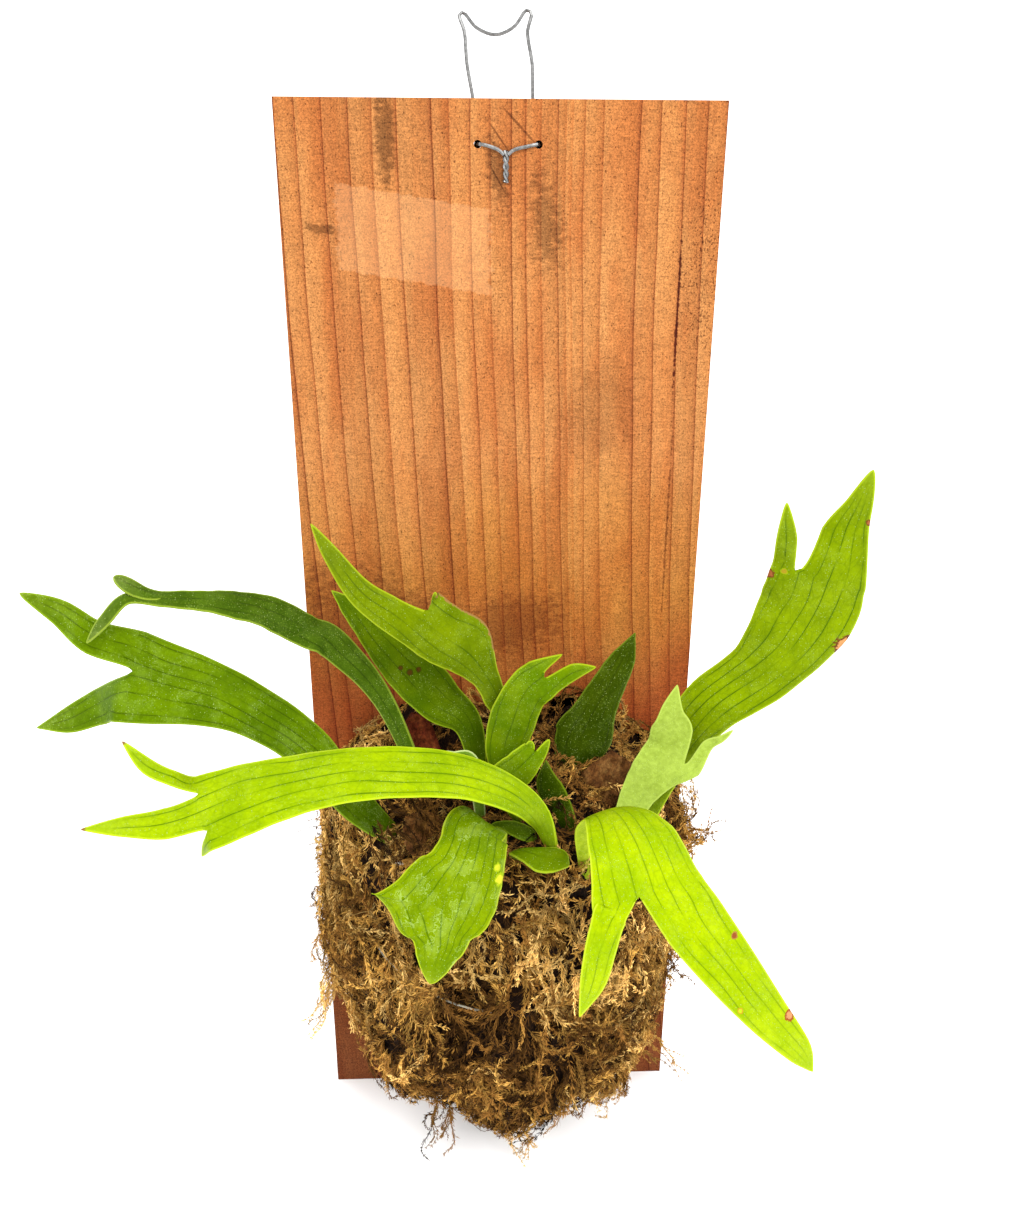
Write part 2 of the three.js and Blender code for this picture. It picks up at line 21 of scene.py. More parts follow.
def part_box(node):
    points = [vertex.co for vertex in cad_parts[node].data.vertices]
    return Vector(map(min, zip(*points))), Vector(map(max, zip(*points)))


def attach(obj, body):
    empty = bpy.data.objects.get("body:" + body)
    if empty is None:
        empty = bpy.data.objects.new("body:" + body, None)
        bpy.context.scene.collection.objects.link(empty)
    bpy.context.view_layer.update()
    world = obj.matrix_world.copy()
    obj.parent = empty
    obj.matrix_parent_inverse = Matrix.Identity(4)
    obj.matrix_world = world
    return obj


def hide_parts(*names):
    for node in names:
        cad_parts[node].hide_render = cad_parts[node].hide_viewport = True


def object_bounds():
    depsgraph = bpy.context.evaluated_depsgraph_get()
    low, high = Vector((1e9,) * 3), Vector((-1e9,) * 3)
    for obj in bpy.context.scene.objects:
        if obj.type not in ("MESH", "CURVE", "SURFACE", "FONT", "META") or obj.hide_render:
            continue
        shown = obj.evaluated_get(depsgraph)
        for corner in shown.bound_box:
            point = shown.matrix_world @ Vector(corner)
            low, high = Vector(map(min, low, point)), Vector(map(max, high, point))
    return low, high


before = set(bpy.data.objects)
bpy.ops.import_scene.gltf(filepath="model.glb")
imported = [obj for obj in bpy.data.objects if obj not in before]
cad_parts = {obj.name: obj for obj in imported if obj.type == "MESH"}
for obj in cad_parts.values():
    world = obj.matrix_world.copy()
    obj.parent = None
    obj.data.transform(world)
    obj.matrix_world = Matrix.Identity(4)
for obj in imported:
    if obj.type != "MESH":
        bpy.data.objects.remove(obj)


def box_as_list(box):
    return [list(corner) for corner in box]


MM = 0.001
BODY = "root"
solid_box = box_as_list(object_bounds())
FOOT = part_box("board")[0].z  # heights in the tables are counted from here, in millimetres
BOARD_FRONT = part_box("board")[0].y
print("solids:", len(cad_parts), "box:", solid_box)

# %% [markdown]
# ## The camera
#
# The view is from a little above the fern and close by, so the board narrows towards its foot.
# A camera can be aimed with a constraint or with angles. Here three angles build its axes, as
# a small roll of the camera is then easy to add.

# %% Camera
LENS_MM = 32.54
LONG_SIDE_MM = 36
CAMERA_PLACE = Vector((-0.016, -0.505, 0.227))
YAW, PITCH, ROLL = (math.radians(a) for a in (2.5, 21.7, 0.37))

ahead = Vector((
    math.sin(YAW) * math.cos(PITCH),
    math.cos(YAW) * math.cos(PITCH),
    -math.sin(PITCH),
))
level = Vector((math.cos(YAW), -math.sin(YAW), 0))
upright = level.cross(ahead)
rightward = level * math.cos(ROLL) + upright * math.sin(ROLL)
upward = upright * math.cos(ROLL) - level * math.sin(ROLL)

camera = bpy.data.objects.new("Camera", bpy.data.cameras.new("Camera"))
camera.data.lens = LENS_MM
camera.data.sensor_width = LONG_SIDE_MM
axes = Matrix((rightward, upward, -ahead)).transposed().to_4x4()
camera.matrix_world = Matrix.Translation(CAMERA_PLACE) @ axes
bpy.context.scene.collection.objects.link(camera)
bpy.context.scene.camera = camera
print("camera at", tuple(CAMERA_PLACE), "lens", LENS_MM)

# %% [markdown]
# ## Colours and nodes
#
# Colours are written as the sRGB hex values that a paint program shows. Shaders work in linear
# light, so one function turns them. One more function adds a node with its settings and its
# links, so each material below reads as a list of steps.

# %% Helpers for every material
MAIN_SETTING = {
    "Math": "operation", "VectorMath": "operation", "Mix": "blend_type", "MapRange": "interpolation_type",
    "TexVoronoi": "feature", "Attribute": "attribute_name", "UVMap": "uv_map",
}


def colour(hex_value):
    """An sRGB colour such as "c07a48" as linear red, green, blue and alpha."""
    parts = [int(hex_value[i:i + 2], 16) / 255 for i in (0, 2, 4)]
    linear = [p / 12.92 if p <= 0.04045 else ((p + 0.055) / 1.055) ** 2.4 for p in parts]
    return (*linear, 1.0)


def add_node(tree, kind, *values, output=None, stops=(), **named):
    """Adds a node and gives back its first output in use, or the output that is named.

    What follows a dot in the kind is its main setting, as in "Math.ADD". The values fill the
    inputs in use, in order, and other inputs are named, with underscores. A value may be a
    number, a hex colour or the output of another node.
    """
    kind, _, setting = kind.partition(".")
    node = tree.nodes.new("ShaderNode" + kind)
    if kind == "Mix":
        node.data_type = "RGBA"
    if setting:
        setattr(node, MAIN_SETTING[kind], setting)
    for _ in stops[2:]:
        node.color_ramp.elements.new(1.0)
    for number, (place, value) in enumerate(stops):
        element = node.color_ramp.elements[number]
        element.position = place
        element.color = colour(value) if isinstance(value, str) else value
    in_use = [socket for socket in node.inputs if socket.enabled]
    by_name = [(node.inputs[name.replace("_", " ")], value) for name, value in named.items()]
    for socket, value in [*zip(in_use, values), *by_name]:
        if isinstance(value, bpy.types.NodeSocket):
            tree.links.new(value, socket)
        else:
            socket.default_value = colour(value) if isinstance(value, str) else value
    results = [socket for socket in node.outputs if socket.enabled]
    return node.outputs[output] if output else next(iter(results), None)


def new_material(name):
    """An empty material, and a function that adds a node to it."""
    material = bpy.data.materials.new(name)
    material.use_nodes = True
    material.node_tree.nodes.clear()
    return material, partial(add_node, material.node_tree)


def noise_of(add, spot, table):
    """One noise pattern for each row of a table: name, size in mm, detail and roughness."""
    return {
        name: add("TexNoise", add("VectorMath.DIVIDE", spot, size), 1.0, detail, roughness)
        for name, (size, detail, roughness) in table.items()
    }


print("node kinds with a main setting:", len(MAIN_SETTING))

# %% [markdown]
# ## Studio light and floor
#
# The fern stands in a bright white studio. A strong white world lights it from all round, which
# keeps the shadows soft and pale. Two soft boxes above the camera give the leaves their form.
# In so much light, each material's own colour is darker than it looks.

# %% Light
WORLD_LIGHT = 1.9
SOFT_BOXES = [  # name, place and size in metres, power in watts
    ("key_light", (0.55, -1.25, 1.25), 0.7, 24.0),
    ("fill_light", (-0.9, -0.9, 0.9), 0.9, 8.0),
]
AIM = Vector((0, -0.06, -0.02))

world = bpy.data.worlds.new("White_studio")
world.use_nodes = True
background = world.node_tree.nodes["Background"].inputs
background["Color"].default_value = (1, 1, 1, 1)
background["Strength"].default_value = WORLD_LIGHT
bpy.context.scene.world = world
bpy.context.scene.view_settings.view_transform = "Standard"

for name, place, size, power in SOFT_BOXES:
    light = bpy.data.lights.new(name, "AREA")
    light.shape = "DISK"
    light.size = size
    light.energy = power
    lamp = bpy.data.objects.new(name, light)
    lamp.location = place
    lamp.rotation_euler = (AIM - Vector(place)).to_track_quat("-Z", "Y").to_euler()
    bpy.context.scene.collection.objects.link(lamp)
print("lights:", [row[0] for row in SOFT_BOXES])

# %% [markdown]
# The floor is plain matt white paper, and bright enough that only a faint shadow shows under the
# moss. Its one square could be added as a plane. It goes through the function that makes all
# finer pieces below from arrays of points and faces.

# %% Floor
FLOOR_HALF = 3.0
CLOUD_SIZE = 1 / 3  # metres, of the paper's faint clouds


def mesh_object(name, points, faces, material, smooth=True):
    """A mesh from an array of points in metres and an array of triangles or quads."""
    points = np.asarray(points, np.float32)
    faces = np.asarray(faces, np.int32)
    mesh = bpy.data.meshes.new(name)
    mesh.vertices.add(len(points))
    mesh.vertices.foreach_set("co", points.ravel())
    mesh.loops.add(faces.size)
    mesh.loops.foreach_set("vertex_index", faces.ravel())
    mesh.polygons.add(len(faces))
    mesh.polygons.foreach_set("loop_start", np.arange(len(faces), dtype=np.int32) * faces.shape[1])
    mesh.polygons.foreach_set("use_smooth", np.full(len(faces), smooth))
    mesh.update(calc_edges=True)
    mesh.validate()
    mesh.materials.append(material)
    made = bpy.data.objects.new(name, mesh)
    bpy.context.scene.collection.objects.link(made)
    return made


def matt_paper():
    """Pressed white paper: very rough, with hardly any change of tone."""
    material, add = new_material("Matt_white_paper")
    cloud = add("TexNoise", Scale=1 / CLOUD_SIZE, Detail=3.0)
    shade = add("ValToRGB", cloud, stops=[(0.0, (0.93, 0.93, 0.93, 1)), (1.0, (0.95, 0.95, 0.95, 1))])
    add("OutputMaterial", add("BsdfPrincipled", Base_Color=shade, Roughness=0.9))
    return material


corners = [(x * FLOOR_HALF, y * FLOOR_HALF, FOOT) for x, y in ((-1, -1), (1, -1), (1, 1), (-1, 1))]
floor = mesh_object("studio_floor", corners, [(0, 1, 2, 3)], matt_paper())
print("floor at", round(FOOT, 4))

# %% [markdown]
# ## The redwood board
#
# The board is a plank of Californian redwood, sawn and not planed. Each year's growth is a pale
# band that darkens to the right and ends in a thin dark line. The bands run the whole length and
# lean a little. On top of them come short fibres, the fine cross marks of the saw, a darkening
# towards the foot, painted shadows of the fronds on the wood near the moss, and dirt.
#
# Wood can be made with a wave texture, but its bands all have one width. Here a colour ramp
# holds the real widths instead: along each band its red value climbs from 0 to 1, and its green
# value is the tone of that year. A ramp has few stops, so two ramps share the board.

# %% Growth bands
MIDDLE_EDGE = 0.4  # the band edge where the second ramp takes over
BAND_EDGES = [  # x in millimetres at the board's top edge, from left to right
    -112, -101, -93, -82, -70.6, -61.3, -51.6, -37.5, -30.7, -22.6, -14.5, -6.0, MIDDLE_EDGE,
    6.9, 13.7, 17.0, 19.5, 24.2, 31.9, 47.2, 55.3, 65.4, 74.6, 82.3, 88.4, 97, 108,
]
HALF_WIDTH = 112.0  # covered by each ramp, in mm
EDGE_GAP = 0.02  # from a band edge to the ramp stop on each side of it, in mm
LEAN = 30.0  # how far the bands would drift over the whole height, in mm
LEAN_CURVE = 1.8
BOARD_TOP_MM, BOARD_HEIGHT_MM = 254.0, 508.0
CROSS_SLOPE = 0.5  # how much the bands slant through the thickness
TONE_SEED = 11


def band_stops(edges, start, tones):
    """Ramp stops for the bands between the edges: phase in red, the year's tone in green."""
    stops = []
    for left, right in zip(edges, edges[1:]):
        tone = tones.uniform(0, 1)
        for x, phase in ((left + EDGE_GAP, 0.0), (right - EDGE_GAP, 1.0)):
            stops.append(((x - start) / HALF_WIDTH, (phase, tone, 0.0, 1.0)))
    return stops


def growth_bands(add, x, depth, height, wander):
    """A colour whose red is the place across the growth band and whose green is its tone."""
    below = add("Math.SUBTRACT", BOARD_TOP_MM, height)
    share = add("Math.DIVIDE", below, BOARD_HEIGHT_MM)
    bent = add("Math.POWER", share, LEAN_CURVE)
    shift = add("Math.MULTIPLY_ADD", bent, -LEAN, x)
    slant = add("Math.MULTIPLY_ADD", depth, CROSS_SLOPE, shift)
    place = add("Math.ADD", slant, wander)
    middle = BAND_EDGES.index(MIDDLE_EDGE)
    tones = np.random.default_rng(TONE_SEED)
    halves = []
    for edges, start in ((BAND_EDGES[:middle + 1], -HALF_WIDTH), (BAND_EDGES[middle:], 0.0)):
        along = add("MapRange", place, start, start + HALF_WIDTH)
        halves.append(add("ValToRGB", along, stops=band_stops(edges, start, tones)))
    right_side = add("Math.GREATER_THAN", place, MIDDLE_EDGE)
    return add("Mix", right_side, *halves)


print("growth bands:", len(BAND_EDGES) - 1)

# %% [markdown]
# Stains, scratches, the pale patch and the painted shadows of the fronds are places on the board,
# so each is a mask: a number that is 1 in the middle and 0 outside. A mask starts as the distance
# from the mark's middle, divided by its half width and half height. Noise breaks its edge up. A
# slope slants it.

# %% Marks on the board
BOARD_MARKS = {
    # centre and half size in mm (x, height above the board's middle), slope, raggedness,
    # strength, colour, square
    "pale_patch": ((-37, 200), (32, 17), -0.16, 0.09, 0.12, "e0b080", True),
    "grey_stain": ((-47.5, 240), (3.4, 17), 0.0, 0.9, 0.62, "4a3c30", False),
    "smudge_under_wire": ((19, 207), (6, 17), -0.6, 1.2, 0.45, "4a3425", False),
    "smudge_by_hole": ((-2, 226), (4, 9), -1.2, 1.2, 0.50, "4a2f20", False),
    "smear_left": ((-75, 204), (7, 1.8), -0.2, 1.2, 0.55, "43301f", False),
    "grey_bloom": ((44, 128), (15, 20), 0.0, 0.8, 0.25, "70563f", False),
    "resin_streak_high": ((76, 168), (0.55, 32), 0.0, 1.1, 0.90, "6a1a12", False),
    "resin_streak_low": ((77, 72), (0.45, 40), 0.0, 1.2, 0.60, "6a2214", False),
    # The next two marks are painted shadows of the fronds on the board, darker and redder.
    "frond_shadow_left": ((-62, 28), (36, 22), -0.25, 0.9, 0.50, "7a4a2c", False),
    "frond_shadow_middle": ((2, 24), (26, 14), 0.2, 0.9, 0.45, "7a4a2c", False),
}
SCRATCHES = [  # start and end in mm, and half width
    ((0, 251), (14, 237), 0.35), ((-6, 246), (3, 234), 0.3), ((-5, 229), (1, 219), 0.35),
]
PANEL_BLUR, OVAL_BLUR = 0.06, 0.9  # share of the mark's size over which it fades


def scratch_mark(start, end, half_width):
    """A scratch as a row of the table above: a long thin mark along its slope."""
    middle = [(a + b) / 2 for a, b in zip(start, end)]
    reach = abs(end[0] - start[0]) / 2
    slope = (end[1] - start[1]) / (end[0] - start[0])
    return middle, (reach, half_width * 2), slope, 0.25, 0.6, "5d3522", False


def mark(add, x, height, rough, centre, half_size, slope, ragged, square):
    """A mask for one mark: a soft oval, or a slanted panel where it is square."""
    aside = add("Math.SUBTRACT", x, centre[0])
    above = add("Math.SUBTRACT", height, centre[1])
    slanted = add("Math.MULTIPLY_ADD", aside, -slope, above)
    across = add("Math.DIVIDE", aside, half_size[0])
    along = add("Math.DIVIDE", slanted, half_size[1])
    if square:
        reach = add("Math.MAXIMUM", *(add("Math.ABSOLUTE", part) for part in (across, along)))
    else:
        reach = add("VectorMath.LENGTH", add("CombineXYZ", across, along))
    broken = add("Math.MULTIPLY_ADD", rough, ragged, reach)
    blur = PANEL_BLUR if square else OVAL_BLUR
    return add("MapRange.SMOOTHSTEP", broken, 1 + blur / 2, 1 - blur / 2)


marks = [*BOARD_MARKS.values(), *(scratch_mark(*scratch) for scratch in SCRATCHES)]
print("marks on the board:", len(marks))

# %% [markdown]
# The wood's colour is built up in layers, from the growth bands to the dirt. Wood is a
# dielectric with an IOR near 1.5. Sawn wood scatters light, so it is rough and hardly shines.
# The fibres are about 0.1 mm wide and would not show from half a metre, so they are drawn
# about 0.5 mm wide.

# %% Redwood
WOOD_PATTERNS = {  # size across, through and up the board in mm, detail, roughness
    "sway": ((30, 30, 90), 1.0, 0.5),
    "fibre": ((0.55, 0.55, 9.0), 3.0, 0.6),
    "saw_mark": ((9.0, 9.0, 0.7), 2.0, 0.6),
    "speck": ((0.62, 0.62, 0.62), 2.0, 0.7),
    "heartwood": ((16, 16, 70), 3.0, 0.6),
    "cloud": ((45, 45, 60), 3.0, 0.5),
    "ragged": ((4.0, 4.0, 2.2), 4.0, 0.7),
    "pore": ((0.8, 0.8, 1.1), 2.0, 0.6),
}
GRAIN_RANGES = {  # two values of a pattern, and the tones that the wood takes there
    "fibre": (0.25, 0.75, 0.86, 1.13),
    "saw_mark": (0.25, 0.75, 0.83, 1.17),
    "speck": (0.28, 0.72, 0.54, 1.44),
}
YEAR_STOPS = [  # pale early wood, darker late wood, and the thin dark line
    (0.0, "a57c50"), (0.55, "a37649"), (0.84, "9c6d42"), (0.94, "8e5e39"), (0.975, "5c3018"),
    (1.0, "96673e"),
]
TONE_STOPS = [(0.0, "ebdfd7"), (0.5, "f4e9e0"), (1.0, "fbf2ea")]
HEIGHT_STOPS = [  # darker and redder towards the foot
    (0.0, "a9867d"), (0.28, "b99a7d"), (0.45, "e6ae92"), (0.58, "f0dea9"), (0.72, "fbefe0"),
    (1.0, "f5e5d2"),
]
MOULD = ((86, 186), (9, 34), 0.0, 0.8, False)  # centre, half size, slope, raggedness, square


def sawn_redwood():
    material, add = new_material("Redwood_sawn")
    in_mm = add("VectorMath.SCALE", add("TexCoord", output="Object"), Scale=1 / MM)
    x, depth, height = add("SeparateXYZ", in_mm).node.outputs
    pattern = noise_of(add, in_mm, WOOD_PATTERNS)
    # The bands wander by about a millimetre over a hand's breadth.
    wander = add("MapRange", pattern["sway"], 0.0, 1.0, -1.6, 1.6)
    year = add("SeparateColor", growth_bands(add, x, depth, height, wander)).node.outputs
    tone = add("ValToRGB", year[1], stops=TONE_STOPS)
    wood = add("Mix.MULTIPLY", 1.0, add("ValToRGB", year[0], stops=YEAR_STOPS), tone)

    # Fibres run up the board and saw marks run across it, in patches.
    fibre, saw_mark, speck = (add("MapRange", pattern[name], *ends) for name, ends in GRAIN_RANGES.items())
    grain = add("Math.MULTIPLY", add("Math.MULTIPLY", fibre, saw_mark), speck)
    wood = add("Mix.MULTIPLY", 1.0, wood, add("CombineColor", grain, grain, grain))

    # Redder heartwood lies in long patches.
    heartwood = add("MapRange", pattern["heartwood"], 0.42, 0.62, 0.0, 0.5)
    wood = add("Mix.MULTIPLY", heartwood, wood, "e6bda6")

    # The wood's tone changes with its height, in clouds.
    lift = add("MapRange", pattern["cloud"], 0.0, 1.0, -45.0, 45.0)
    cloudy_height = add("Math.ADD", height, lift)
    rise = add("MapRange", cloudy_height, BOARD_TOP_MM - BOARD_HEIGHT_MM, BOARD_TOP_MM)
    wood = add("Mix.MULTIPLY", 1.0, wood, add("ValToRGB", rise, stops=HEIGHT_STOPS))

    # Dark pores dot the wood, and black mould sits in more of them near the right edge.
    ragged = add("MapRange", pattern["ragged"], 0.3, 0.7, -0.7, 0.7)
    front = add("Math.LESS_THAN", depth, BOARD_FRONT / MM + 0.5)
    mould = add("Math.MULTIPLY", mark(add, x, height, ragged, *MOULD), front)
    deepest = add("Math.MULTIPLY_ADD", mould, 0.075, pattern["pore"])
    pores = add("MapRange", deepest, 0.62, 0.70, 0.0, 0.75)
    wood = add("Mix.MULTIPLY", pores, wood, "6b4630")
    # The marks are stains, dirt, scratches and the painted shadows of the fronds.
    for centre, half_size, slope, torn, strength, dye, square in marks:
        mask = mark(add, x, height, ragged, centre, half_size, slope, torn, square)
        share = add("Math.MULTIPLY", add("Math.MULTIPLY", mask, strength), front)
        wood = add("Mix.MIX" if square else "Mix.MULTIPLY", share, wood, dye)

    relief = add("Bump", 0.35, 0.0004, Height=grain)
    add("OutputMaterial", add(
        "BsdfPrincipled", Base_Color=wood, Roughness=0.8, Specular_IOR_Level=0.08, Normal=relief,
    ))
    return material


def finish_node(name, material):
    """Gives a solid of the frame a new material, and leaves its shape alone."""
    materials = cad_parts[name].data.materials
    materials.clear()
    materials.append(material)


finish_node("board", sawn_redwood())
print("board finished with", len(BOARD_MARKS), "marks and", len(SCRATCHES), "scratches")

# %% [markdown]
# ## Wire, nails and line
#
# The hanger is galvanised steel wire: steel dipped in zinc, which dulls to a mid grey with a
# faint mottle. The nails are bright steel gone grey. The line that ties the moss is nylon, which
# is nearly clear, with an IOR of 1.53.

# %% Metal and nylon
MOTTLE_MM = 1.5
HAZE_MM = 5.0


def zinc_steel(name, pale, dark, roughness):
    """Grey metal whose tone and shine change in small patches."""
    material, add = new_material(name)
    spot = add("TexCoord", output="Object")
    mottle = add("TexNoise", spot, Scale=1 / (MOTTLE_MM * MM), Detail=3.0)
    base = add("ValToRGB", mottle, stops=[(0.35, dark), (0.65, pale)])
    shine = add("MapRange", mottle, 0.0, 1.0, roughness - 0.12, roughness + 0.12)
    dents = add("Bump", 0.4, 0.0002, Height=mottle)
    add("OutputMaterial", add(
        "BsdfPrincipled", Base_Color=base, Metallic=1.0, Roughness=shine, Normal=dents,
    ))
    return material


def nylon_line():
    material, add = new_material("Nylon_line")
    haze = add("TexNoise", add("TexCoord", output="Object"), Scale=1 / (HAZE_MM * MM))
    base = add("ValToRGB", haze, stops=[(0.3, "8f8a78"), (0.7, "aca898")])
    add("OutputMaterial", add(
        "BsdfPrincipled", Base_Color=base, Roughness=0.25, IOR=1.53, Transmission_Weight=0.3,
    ))
    return material


finish_node("hanging_wire", zinc_steel("Galvanised_wire", "7a7a79", "5e5e5d", 0.40))
nail_steel, nylon = zinc_steel("Nail_steel", "8f9092", "5b5957", 0.5), nylon_line()
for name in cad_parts:
    if name.startswith("nail_"):
        finish_node(name, nail_steel)
    if name.startswith("tie_line_"):
        finish_node(name, nylon)
print("finished: the wire, the nails and the lines")

# %% [markdown]
# ## Fronds
#
# A staghorn frond is one leathery blade that forks like an antler. It grows out of a narrow
# stalk, arches, and hangs at its tips. Each blade could be sculpted by hand, but a table of
# stations is easier to correct: a station is a point on the midline and the width there.
# A smooth curve through the stations carries rows of points across the blade, and each lobe
# starts from its share of the stem's last row.
#
# The table holds the same stations as the solid model, in millimetres above the board's foot:
# x, y, height and width, or the two half widths where the sides differ. `face` is where the
# blade's upper side looks, from the root to the fork. A lobe has its share of the stem's width
# and its own stations.

